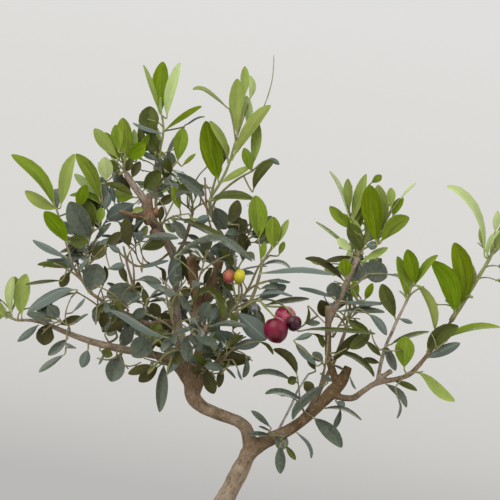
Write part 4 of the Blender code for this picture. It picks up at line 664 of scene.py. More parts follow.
        (-5, -25.5, 272, -28, 282, -30.5, 292), (6.5, -103, 280.5, -105.5, 276, -109, 270.5),
        (6, -80, 297, -69, 306), (8, -64, 295, -66, 306, -66, 316),
        (12, -115, 247, -118.5, 240, -119.5, 232.5), (6, -49, 220, -65, 214), (8, -45, 219, -58, 209),
        (8, -82, 243, -80, 255), (6, -110, 246, -95, 251), (5, -80, 240, -74, 244.5, -66, 248),
        (8, -44, 250, -50, 260), (12, -34, 248, -47, 248), (6, -47, 323, -35, 330),
        (8.5, 0, 311.5, 4, 318, 6.5, 327), (9, 4, 306, 12, 314), (8, 12, 293, 9, 305),
        (9.5, -15, 226, 0, 224.5, 8, 223.3, 15, 224.5), (5, -4, 218, -6, 205), (6, -17, 217, -23, 215),
        (5, -1, 290, 3, 286), (7, 56, 201, 50, 209),
        (6, 45, 212.8, 42.7, 220, 38.6, 225.5, 35, 228, 29.3, 230), (5, 57, 216, 52, 226),
        (6, 67, 221, 85, 240), (4, 99, 221, 88, 224), (4, 82, 290, 63, 287),
        (2.5, -98.5, 267, -107, 264.5, -114, 260.5, -120, 256),
        (5, 76, 274.3, 71, 278.3, 66, 282, 58, 286.6, 50, 289), (-9, 65, 250, 60, 262),
        (8.5, -14, 219, -12.5, 210, -9, 201), (4, 24, 259, 38, 260.7, 53, 262.8),
        (8, -90, 287, -85, 292, -79, 297), (5, -66, 273, -68.5, 280, -71, 284),
        (5, -61, 262, -58.5, 268, -58.5, 274), (4, -6, 281, -3.5, 276, -5, 271),
        (4, -35, 286, -31, 281, -29, 275),
    ),
}

# Twigs that can be told apart from in front: the radius, the depth, the youth, then where they show
KNOWN_TWIGS = (
    (1.2, -8, 0.1, -61, 268, -63, 276, -65.5, 285, -68, 297),
    (0.9, -10, 0.2, -64, 270, -67.5, 281, -71, 294), (0.8, -6, 0.2, -61, 270, -61.5, 284, -64, 294),
    (0.5, -6, 0.4, -56, 280, -55.5, 290, -58, 299), (1.0, -12, 0.2, -92, 284, -85, 292, -79, 298),
    (0.6, -12, 0.4, -80, 297, -79, 290, -77, 283),
    (1.3, -16, 0.3, 13, 258, 17.5, 268, 20.5, 278, 22.5, 286, 26.5, 293, 32, 299),
    (0.8, -16, 0.6, 22, 286, 21, 294, 20, 301), (0.7, -16, 0.6, 26.5, 293, 28.5, 297, 29.5, 302),
    (1.2, -23, 1.0, -52, 214, -46, 221, -40, 227, -33, 229.5),
    (1.0, -24, 1.0, -39, 216, -37.5, 222, -35, 227), (1.0, -23, 0.8, -45, 236, -42, 232, -33, 229),
    (0.5, -18, 0.2, -58, 240, -51, 236, -42, 237), (1.6, -27, 0.0, -14, 245, -16.5, 237, -18, 228),
    (1.0, -20, 0.2, -12, 232, -5, 232.5, 2, 236, 8, 241),
    (0.5, 2, 1.0, 14, 373, 20, 381, 25, 392, 28.5, 404, 29.6, 414, 29.8, 421),
)



def smooth_path(points: list, spacing: float) -> list[Vector]:
    """Step evenly along a smooth curve through the given points.

    Args:
        points: places that the curve passes through.
        spacing: about how far apart the steps are.

    Returns:
        The points of the curve.
    """
    knots = [Vector(point) for point in points]
    ends = [knots[0] * 2 - knots[1]] + knots + [knots[-1] * 2 - knots[-2]]
    path = [knots[0]]
    for before, here, there, after in zip(ends, ends[1:], ends[2:], ends[3:]):
        steps = max(1, round((there - here).length / spacing))
        for step in range(1, steps + 1):
            t = step / steps
            path.append(0.5 * (2 * here + (there - before) * t
                               + (2 * before - 5 * here + 4 * there - after) * t ** 2
                               + (3 * here - before - 3 * there + after) * t ** 3))
    return path


def shares_along(path: list[Vector]) -> list[float]:
    """Return each point's share of the path's whole length.

    Args:
        path: the points of the path.

    Returns:
        A share from 0 to 1 for each point.
    """
    lengths = [0.0]
    for here, there in zip(path, path[1:]):
        lengths.append(lengths[-1] + (there - here).length)
    return [length / lengths[-1] for length in lengths]


def length_of(path: list[Vector]) -> float:
    """Return a path's whole length."""
    return sum((there - here).length for here, there in zip(path, path[1:]))


def bent(root: Vector, bend: Vector, tip: Vector, steps: int) -> list[Vector]:
    """Return a path from a root to a tip that is drawn towards a bend."""
    shares = [step / steps for step in range(steps + 1)]
    return [root * (1 - t) ** 2 + bend * 2 * t * (1 - t) + tip * t ** 2 for t in shares]


def shown_line(numbers: list[float]) -> list[Vector]:
    """Return a line seen from in front, from its places across and up in turn."""
    return [Vector((*pair, 0.0)) for pair in zip(numbers[::2], numbers[1::2])]


def point_along(path: list[Vector], share: float) -> tuple[Vector, Vector]:
    """Find a place on a path.

    Args:
        path: the points of the path.
        share: how far along it, from 0 to 1.

    Returns:
        The point and the direction there.
    """
    shares = shares_along(path)
    for index in range(len(path) - 2):
        if share <= shares[index + 1]:
            break
    else:
        index = len(path) - 2
    part = (share - shares[index]) / (shares[index + 1] - shares[index])
    step = path[index + 1] - path[index]
    return path[index] + step * part, step.normalized()


def ring_frames(path: list[Vector], level_foot: bool = False) -> list[tuple[Vector, Vector, Vector]]:
    """Carry two side directions along a path, turned as little as possible.

    Args:
        path: the points of the path.
        level_foot: whether the first ring lies level.

    Returns:
        The tangent and the two side directions at each point.
    """
    tangents = [Vector((0, 0, 1)) if level_foot else (path[1] - path[0]).normalized()]
    for before, after in zip(path, path[2:]):
        tangents.append((after - before).normalized())
    tangents.append((path[-1] - path[-2]).normalized())
    side = tangents[0].cross(Vector((0, 1, 0.01))).normalized()
    frames = []
    for tangent in tangents:
        side = (side - tangent * side.dot(tangent)).normalized()
        frames.append((tangent, side, tangent.cross(side)))
    return frames


def tube(path: list[Vector], radii: list[float], sides: int) -> Solid:
    """Make a closed tube with flat ends.

    Args:
        path: its middle line.
        radii: its radius at each point of the line.
        sides: how many sides it has.

    Returns:
        The tube's points and faces.
    """
    points, faces = [], []
    for middle, radius, (_, across, up) in zip(path, radii, ring_frames(path)):
        for side in range(sides):
            angle = math.tau * side / sides
            points.append(middle + (across * math.cos(angle) + up * math.sin(angle)) * radius)
    for ring in range(len(path) - 1):
        for side in range(sides):
            here = ring * sides + side
            there = ring * sides + (side + 1) % sides
            faces.append((here, there, there + sides, here + sides))
    last = (len(path) - 1) * sides
    faces.append(tuple(reversed(range(sides))))
    faces.append(tuple(range(last, last + sides)))
    return points, faces


def joined(solids: Iterable[Solid]) -> Solid:
    """Join several solids into one.

    Args:
        solids: what is joined.

    Returns:
        All their points and faces as one solid.
    """
    points, faces = [], []
    for own_points, own_faces in solids:
        base = len(points)
        points.extend(own_points)
        faces.extend(tuple(base + index for index in face) for face in own_faces)
    return points, faces


def tree_of(solids: list[Solid]) -> BVHTree | None:
    """Make a search tree over the faces of several solids, or none where there are none."""
    points, faces = joined(solids)
    return BVHTree.FromPolygons(points, faces) if faces else None


def touches(solid: Solid, trees: list[BVHTree | None]) -> bool:
    """Return whether a solid's surface crosses that of any tree."""
    own = tree_of([solid])
    return any(tree is not None and own.overlap(tree) for tree in trees)


def perpendicular(direction: Vector, axis: Vector) -> Vector:
    """Return the part of a direction that is square to an axis, as a unit."""
    return (direction - axis * direction.dot(axis)).normalized()


def seen(point: Vector) -> Vector:
    """Return where a point shows from in front: across and up, at the depth of the trunk."""
    scale = VIEW_DISTANCE / (VIEW_DISTANCE + point.y)
    return Vector((VIEW_X + (point.x - VIEW_X) * scale, VIEW_Z + (point.z - VIEW_Z) * scale))


def placed(across: float, up: float, depth: float) -> Vector:
    """Return the place at a depth that shows at a spot from in front."""
    scale = (VIEW_DISTANCE + depth) / VIEW_DISTANCE
    return Vector((VIEW_X + (across - VIEW_X) * scale, depth, VIEW_Z + (up - VIEW_Z) * scale))


def shows_outside(spot: Vector) -> bool:
    """Return whether a place seen from in front is within the view, but not in the thick of the crown.

    Args:
        spot: where the place shows, across and up.

    Returns:
        Whether it shows outside.
    """
    if abs(spot.x - VIEW_X) > VIEW_WIDTH / 2:
        return False
    return not any((spot - Vector((across, up))).length < radius for across, up, radius in THICK)


def limb_radius(limb: Limb, share: float, length: float) -> float:
    """Return a limb's radius at a share of its length: an even taper with low swellings.

    Args:
        limb: the limb.
        share: how far along it.
        length: its whole length.

    Returns:
        The radius there.
    """
    if limb.girths:
        return float(np.interp(share, shares_along([Vector(point) for point in limb.path]), limb.girths))
    swell = 1.0 + SWELL * math.sin(len(limb.name) + math.tau * share * length / SWELL_LENGTH)
    return (limb.start + (limb.end - limb.start) * share) * swell


@dataclass
class Twig:
    """A grown twig: its middle line, its radii, and how young it is from 0 to 1."""

    path: list[Vector]
    radii: list[float]
    sides: int = 4
    youth: float = 0.0

    def solid(self, extra: float = 0.0) -> Solid:
        """Return the twig's own solid, thickened by extra."""
        return tube(self.path, [radius + extra for radius in self.radii], self.sides)


@dataclass
class Blade:
    """A leaf: its middle line from the twig to the tip, the way its face looks, and its make."""

    line: list[Vector]
    up: Vector
    width: float
    tint: Tint
    tone: float = 0.0
    fold: float = 0.25
    broadest: float = 0.54

    def solid(self, extra: float = 0.0, start: float = 0.0) -> Solid:
        """Make the keeled leaf of the source, which tells what the leaf touches.

        Args:
            extra: how much larger it is made all round.
            start: the share of its length that is left off at the twig.

        Returns:
            Six points and eight faces.
        """
        root, _ = point_along(self.line, start)
        tip = self.line[-1]
        axis = tip - root
        side = axis.cross(self.up).normalized()
        half = self.width / 2 + extra
        lift = side.cross(axis).normalized() * (axis.length * KEEL_LIFT + extra)
        drop = lift.normalized() * extra
        points = [root - drop]
        for share, width in KEEL_RINGS:
            middle, _ = point_along(self.line, max(share, start + KEEL_START))
            points.append(middle + lift + side * half * width)
            points.append(middle + lift - side * half * width)
        points.append(tip + axis.normalized() * extra - drop)
        faces = [(0, 1, 2), (1, 3, 4), (1, 4, 2), (3, 5, 4), (0, 5, 1), (1, 5, 3), (0, 2, 5), (2, 4, 5)]
        return points, faces

    def hides_sky(self) -> bool:
        """Return whether the blade would show in an opening of the crown.

        Returns:
            Whether it comes within the radius of an opening.
        """
        middle, _ = point_along(self.line, 0.5)
        axis = self.line[-1] - self.line[0]
        side = axis.cross(self.up).normalized() * self.width / 2
        reach = (seen(middle + side) - seen(middle)).length
        first = seen(self.line[0] + axis * OWN_ROOM_SHARE)
        line = seen(self.line[-1]) - first
        for across, up, radius in SKY:
            spot = Vector((across, up))
            share = min(max((spot - first).dot(line) / line.length_squared, 0.0), 1.0)
            if (first + line * share - spot).length < radius + reach * TEST_REACH:
                return True
        return False

    def intrudes(self, front: BVHTree) -> bool:
        """Tell whether the blade would stand before what shows from in front, or show where little does.

        Args:
            front: a search tree over the leaves, fruit and wood that show.

        Returns:
            Whether it hides them, or shows outside the thick of the crown.
        """
        eye = Vector((VIEW_X, -VIEW_DISTANCE, VIEW_Z))
        axis = self.line[-1] - self.line[0]
        side = axis.cross(self.up).normalized() * self.width / 2
        hiding, showing = 0, 0
        for share in TEST_SHARES:
            middle, _ = point_along(self.line, share)
            for across in (-TEST_REACH, TEST_REACH):
                spot = middle + side * across
                away = (spot - eye).normalized()
                if front.ray_cast(spot, away)[0] is not None:
                    hiding += 1
                if front.ray_cast(spot, -away)[0] is None and shows_outside(seen(spot)):
                    showing += 1
        return hiding > MOST_HIDING or showing > MOST_SHOWING


class Growth:
    """Grows the crown by the source's rule: twigs first, leaves that are known next, then pairs."""

    seen_seed = 11
    finer_seed = 400

    def __init__(self) -> None:
        """Grow the twigs, the known leaves, the pairs and the finer twigs."""
        self.limbs = {limb.name: limb for limb in LIMBS}
        self.limb_paths = {limb.name: smooth_path(limb.path, LIMB_STEP) for limb in LIMBS}
        self.wood = tree_of([self.limb_solid(limb) for limb in LIMBS])
        self.twigs: dict[str, list[tuple]] = {}
        self.fine: list[Twig] = []
        self.stalks: list[Twig] = []
        self.fruits: list[Fruit] = []
        self.bearers: list[str] = []
        self.leaves: list[Blade] = []
        for spray in SPRAYS:
            self.twigs[spray.name] = self.grow_twigs(spray)
            stem = self.twigs[spray.name][0][0]
            for fruit in spray.fruits:
                self.stalks.append(self.stalk_of(stem, fruit))
                self.fruits.append(fruit)
                self.bearers.append(spray.name)
        self.grow_known_twigs()
        self.rooms = {name: tree_of([twig[0].solid(TWIG_ROOM) for twig in twigs])
                      for name, twigs in self.twigs.items()}
        rounds = [self.round_of(fruit) for fruit in self.fruits]
        self.fruit_room = tree_of([stalk.solid(TWIG_ROOM) for stalk in self.stalks] + rounds)
        self.place_known()
        self.place_all_pairs()
        self.grow_finer()

    def limb_solid(self, limb: Limb) -> Solid:
        """Return a limb's tube, thickened by the seat gap.

        Args:
            limb: the limb.

        Returns:
            A tube of ten sides.
        """
        path = self.limb_paths[limb.name]
        length = length_of(path)
        radii = [limb_radius(limb, share, length) + SEAT_GAP for share in shares_along(path)]
        return tube(path, radii, 10)

    def stem_of(self, spray: Spray) -> Twig:
        """Return a spray's stem, which starts in its bough's tip or side.

        Args:
            spray: the mass of leaves.

        Returns:
            The twig that bears its shoots.
        """
        limb = self.limbs[spray.bough]
        path = self.limb_paths[limb.name]
        spot, along = point_along(path, spray.at)
        first = Vector(spray.path[0])
        if spray.at >= 1.0:
            foot = [spot - along * TIP_SINK, spot + along * TIP_RISE]
        else:
            out = perpendicular(first - spot, along)
            local = limb_radius(limb, spray.at, 0.0)
            foot = [spot + out * local * SIDE_SINK, spot + out * (local + SIDE_RISE)]
        path = smooth_path([*foot, *spray.path], TWIG_STEP / 3)
        radii = [spray.radius * (1 - STEM_TAPER * share) for share in shares_along(path)]
        return Twig(path, radii, youth=spray.habit.youth)

    def shoot_of(self, stem: Twig, at: float, tip: Vector, radius: float, youth: float) -> Twig:
        """Grow a twig that leaves along a stem and bends to its own way.

        Args:
            stem: what bears it.
            at: the share of the stem's length where it starts.
            tip: where it ends.
            radius: its radius at its foot.
            youth: how young it is.

        Returns:
            The twig.
        """
        root, along = point_along(stem.path, at)
        span = (tip - root).length
        way = along * SHOOT_ALONG + (tip - root).normalized() * (1 - SHOOT_ALONG)
        steps = max(3, round(span / TWIG_STEP * 3))
        path = bent(root, root + way * span * SHOOT_BEND, tip, steps)
        radii = [radius * (1 - SHOOT_TAPER * step / steps) for step in range(steps + 1)]
        return Twig(path, radii, youth=youth)

    def grow_twigs(self, spray: Spray) -> list[tuple]:
        """Return a spray's stem and shoots, each with what its pairs of leaves need.

        Args:
            spray: the mass of leaves.

        Returns:
            Rows of a twig, its pairs, their length, habit and twist, and its bare share.
        """
        stem = self.stem_of(spray)
        grown = [(stem, spray.pairs, spray.leaf, spray.habit, spray.twist, spray.bare)]
        for shoot in spray.shoots:
            twig = self.shoot_of(stem, shoot.at, Vector(shoot.tip), spray.radius * SHOOT_GIRTH,
                                 shoot.habit.youth)
            grown.append((twig, shoot.pairs, shoot.leaf, shoot.habit, shoot.twist, SHOOT_BARE))
        return grown

    def stalk_of(self, stem: Twig, fruit: Fruit) -> Twig:
        """Return the stalk: it leaves the stem, droops and runs into the top of its fruit.

        Args:
            stem: what it leaves.
            fruit: the olive that it bears.

        Returns:
            The stalk.
        """
        root, _ = point_along(stem.path, fruit.at)
        middle = Vector(fruit.middle)
        top = middle + Vector((0, 0, fruit.height * STALK_SEAT))
        if fruit.via:
            path = smooth_path([root, *fruit.via, top], LED_STALK_STEP)
            return Twig(path, [LED_STALK_RADIUS] * len(path), youth=1.0)
        path = bent(root, middle + Vector((0, 0, fruit.height / 2 + STALK_LIFT)), top, STALK_STEPS)
        return Twig(path, [STALK_RADIUS] * len(path), youth=1.0)

    def round_of(self, fruit: Fruit) -> Solid:
        """Return a rough solid that tells what an olive touches.

        Args:
            fruit: the olive.

        Returns:
            A tube as wide as the olive is at each height.
        """
        middle = Vector(fruit.middle)
        path = [middle + Vector((0, 0, fruit.height * height)) for height, _ in OLIVE_ROUND]
        return tube(path, [fruit.width * radius for _, radius in OLIVE_ROUND], 10)

    def spots(self) -> list[tuple]:
        """Return the points of the twigs and boughs that may bear something, and where they show.

        Returns:
            Rows of where a point shows across and up, its depth, the point and the radius.
        """
        spots = []
        for twig in [twig[0] for twigs in self.twigs.values() for twig in twigs] + self.fine:
            if twig.radii[0] < BEARING_RADIUS:
                continue
            spots += [(*seen(point), point.y, point, radius) for point, radius in zip(twig.path, twig.radii)]
        for name, path in self.limb_paths.items():
            limb = self.limbs[name]
            if limb.start < BEARING_BOUGH:
                spots += [(*seen(point), point.y, point, limb.end) for point in path]
        return spots

    def grow_known_twigs(self) -> None:
        """Grow the twigs that can be told apart from in front, each from the nearest twig or bough."""
        for radius, depth, youth, *numbers in KNOWN_TWIGS:
            flat = shown_line(numbers)
            root = min(self.spots(), key=lambda spot: math.hypot(spot[0] - flat[0].x, spot[1] - flat[0].y)
                       + DEPTH_WEIGHT * abs(spot[2] - depth))[3]
            path = smooth_path([root, *[placed(spot.x, spot.y, depth) for spot in flat]], KNOWN_STEP)
            radii = [radius * (1 - KNOWN_TAPER * share) for share in shares_along(path)]
            self.fine.append(Twig(path, radii, youth=youth))

    def place_known(self) -> None:
        """Place the leaves that can be told apart from in front, each on the nearest twig."""
        rng = Random(self.seen_seed)
        spots = self.spots()
        places = np.array([spot[:3] for spot in spots])
        trees = [self.wood, self.fruit_room]
        for tint, rows in KNOWN.items():
            for width, *numbers in rows:
                self.place_known_leaf(tint, width, shown_line(numbers), spots, places, trees, rng)
        LOG.info("known leaves: %d on %d fine twigs", len(self.leaves), len(self.fine))

    def place_known_leaf(self, tint: Tint, width: float, flat: list[Vector], spots: list,
                         places: np.ndarray, trees: list, rng: Random) -> None:
        """Place one leaf by where it shows from in front.

        Args:
            tint: its colour.
            width: how wide it shows.
            flat: where its middle line shows, from the twig to the tip.
            spots: points of the twigs and boughs that may bear it.
            places: where those points show, and their depth.
            trees: what it keeps clear of where it can.
            rng: the source of its small differences.
        """
        away = np.hypot(places[:, 0] - flat[0].x, places[:, 1] - flat[0].y)
        cost = away + DEPTH_WEIGHT * np.abs(places[:, 2] - DEPTHS[tint])
        best = int(cost.argmin())
        root, radius = spots[best][3], spots[best][4]
        depth = root.y + (radius + BEHIND if width < 0 else -radius)
        width = abs(width)
        shown = smooth_path(flat, KNOWN_STEP)
        shares = shares_along(shown)
        length = length_of(shown)
        full = max(width, min(FULL_SHARE * length, FULL_WIDTH))
        turn = math.acos(min(width / full, 1.0))
        span = (shown[-1] - shown[0]).normalized()
        rise = Vector((-span.y, span.x, 0.0))
        if rise.y < -UPRIGHT or (abs(rise.y) <= UPRIGHT and rng.random() < 0.5):
            rise = -rise
        up = Vector((rise.x * math.sin(turn), -math.cos(turn), rise.y * math.sin(turn)))
        swing = rng.uniform(*SWING)
        for attempt in range(KNOWN_TRIES):
            shift = (attempt + 1) // 2 * SWING_STEP * (-1) ** attempt
            line = [placed(point.x, point.y, depth - length * share * (swing + shift))
                    for point, share in zip(shown, shares)]
            blade = Blade(line, perpendicular(up, (line[-1] - line[0]).normalized()), full, tint,
                          rng.uniform(-1, 1), rng.uniform(*KNOWN_SPREAD.fold),
                          rng.uniform(*KNOWN_SPREAD.broadest))
            if tint is Tint.GREY:
                blade.up = -blade.up
            if not touches(blade.solid(KNOWN_ROOM, OWN_ROOM_SHARE), trees):
                break
        if away[best] > radius + SPUR_GAP:
            base = blade.line[0]
            way = (blade.line[1] - base).normalized()
            path = bent(root, base - way * (base - root).length * SPUR_BEND, base, SPUR_STEPS)
            radii = [SPUR_RADIUS - SPUR_THINNING * step for step in range(SPUR_STEPS + 1)]
            self.fine.append(Twig(path, radii, youth=0.5))
        trees.append(tree_of([blade.solid(start=OWN_ROOM_SHARE)]))
        self.leaves.append(blade)

    def leaf_at(self, twig: Twig, share: float, side: int, phase: float, open_angle: float,
                length: float, habit: Habit, rng: Random, turn: float) -> Blade:
        """Grow one leaf of a pair.

        Args:
            twig: what bears it.
            share: how far along the twig.
            side: which of the pair it is, -1 or 1.
            phase: how far the pair is turned round the twig, in degrees.
            open_angle: how far the leaf leans from the twig, in degrees.
            length: its length before it is varied.
            habit: how it is held.
            rng: the source of its small differences.
            turn: turns it round its twig for another try, in degrees.

        Returns:
            The leaf.
        """
        root, along = point_along(twig.path, share)
        across = perpendicular(SIDEWAYS, along)
        around = Quaternion(along, math.radians(phase + turn)) @ across
        lean = math.radians(open_angle + rng.uniform(*PAIRED.lean))
        way = along * math.cos(lean) + around * (math.sin(lean) * side)
        way = (way + Vector((0, 0, habit.rise))).normalized()
        length = length * rng.uniform(*PAIRED.length)
        natural = perpendicular(along, way)
        lit = perpendicular(LIGHT, way)
        up = (natural + lit * habit.facing * rng.uniform(*PAIRED.facing)).normalized()
        up = Quaternion(way, math.radians(rng.uniform(*PAIRED.roll))) @ up
        width = length * habit.slim * rng.uniform(*PAIRED.width)
        bow = length * rng.uniform(*PAIRED.bow)
        line = []
        for step in range(LEAF_STEPS + 1):
            t = step / LEAF_STEPS
            line.append(root + way * length * t + up * bow * 4 * t * (1 - t) - up * bow * t * t)
        return Blade(line, up, width, rng.choice(habit.tints), rng.uniform(-1, 1),
                     rng.uniform(*PAIRED.fold), rng.uniform(*PAIRED.broadest))

    def place_pairs(self, grown: list[tuple], own: list, blocked: list, rng: Random) -> list[Blade]:
        """Add opposite pairs of leaves along each twig, less any that would touch or hide something.

        Args:
            grown: twigs with what their pairs need.
            own: search trees of leaves nearby, less what is close to their twig.
            blocked: search trees that no leaf may touch at all.
            rng: the source of the small differences.

        Returns:
            The leaves that found a place.
        """
        leaves = []
        for twig, pairs, length, habit, twist, bare in grown:
            for pair in range(pairs):
                part = (pair + 1) / pairs
                share = min(bare + (1 - bare) * part, LAST_PAIR) if pairs > 1 else LAST_PAIR
                open_angle = habit.lower + (habit.upper - habit.lower) * part
                size = length * (LEAST_SIZE + MIDDLE_GAIN * math.sin(math.pi * (0.25 + 0.5 * part)))
                for side in (-1, 1):
                    for attempt in range(LEAF_TRIES):
                        leaf = self.leaf_at(twig, share - PAIR_OFFSET * side, side, twist + 90 * pair,
                                            open_angle, size * (1 - RETRY_SHRINK * attempt), habit, rng,
                                            attempt * RETRY_TURN * side)
                        outer = leaf.solid(start=OWN_ROOM_SHARE)
                        outermost = leaf.line[-1].y < FRONT_REACH
                        if not outermost and (leaf.hides_sky() or leaf.intrudes(self.front)):
                            continue
                        if touches(leaf.solid(LEAF_ROOM), blocked) or touches(outer, own):
                            continue
                        leaves.append(leaf)
                        own.append(tree_of([outer]))
                        break
        return leaves

    def place_all_pairs(self) -> None:
        """Add the pairs of leaves of every spray."""
        known = tree_of([leaf.solid(start=OWN_ROOM_SHARE) for leaf in self.leaves])
        high = [point for point in self.limb_paths["upper_left_bough"] if point.z > BARE_FROM]
        self.front = tree_of([leaf.solid() for leaf in self.leaves]
                             + [self.round_of(fruit) for fruit in self.fruits]
                             + [self.limb_solid(self.limbs[name]) for name in BARE_LIMBS]
                             + [tube(high, [BARE_HALF] * len(high), 8)])
        taken = []
        for number, spray in enumerate(SPRAYS):
            others = [room for other, room in self.rooms.items() if other != spray.name]
            blocked = [self.wood, self.fruit_room, *others, *taken]
            leaves = self.place_pairs(self.twigs[spray.name], [known], blocked, Random(number))
            taken.append(tree_of([leaf.solid() for leaf in leaves]))
            self.leaves += leaves
        LOG.info("leaves with those in pairs: %d", len(self.leaves))

    def grow_finer(self) -> None:
        """Carry the growth on to finer twigs with smaller leaves, within each spray's own reach."""
        placed_leaves = tree_of([leaf.solid(start=OWN_ROOM_SHARE) for leaf in self.leaves])
        for number, spray in enumerate(SPRAYS):
            rng = Random(self.finer_seed + number)
            lowest, highest = (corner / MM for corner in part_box(spray.name))
            own = [placed_leaves]
            for twig, _, length, habit, _, _ in self.twigs[spray.name]:
                count = max(1, round(length_of(twig.path) / FINER_STEP))
                for step in range(count):
                    at = min(FINER_FROM + FINER_SPAN * (step + rng.random()) / count, FINER_LAST)
                    root, along = point_along(twig.path, at)
                    out = Quaternion(along, rng.uniform(0, math.tau)) @ perpendicular(SIDEWAYS, along)
                    tip = root + (along * FINER_LEAN + out).normalized() * rng.uniform(*FINER_REACH)
                    if any(tip[axis] < lowest[axis] or tip[axis] > highest[axis] for axis in range(3)):
                        continue
                    side_twig = self.shoot_of(twig, at, tip, FINER_RADIUS, twig.youth)
                    if touches(side_twig.solid(FINER_ROOM), [self.fruit_room]):
                        continue
                    grown = [(side_twig, 2, length * FINER_LEAF, habit, rng.uniform(0, 90), SHOOT_BARE)]
                    leaves = self.place_pairs(grown, own, [self.wood, self.fruit_room], rng)
                    if leaves:
                        self.fine.append(side_twig)
                        self.leaves += leaves
            placed_leaves = tree_of([leaf.solid(start=OWN_ROOM_SHARE) for leaf in self.leaves])
        LOG.info("leaves with those on finer twigs: %d", len(self.leaves))


def linear(red: int, green: int, blue: int) -> tuple[float, float, float, float]:
    """Turn a colour in steps of 0 to 255 as a screen shows it into the shader's shares.

    Args:
        red: its red.
        green: its green.
        blue: its blue.

    Returns:
        The three shares, and full opacity.
    """
    shares = []
    for step in (red, green, blue):
        share = step / 255
        shares.append(share / 12.92 if share <= 0.04045 else ((share + 0.055) / 1.055) ** 2.4)
    return (*shares, 1.0)


def scaled(colour: tuple, factor: float) -> tuple:
    """Return a colour made lighter or darker by a factor."""
    return (*(min(share * factor, 1.0) for share in colour[:3]), 1.0)


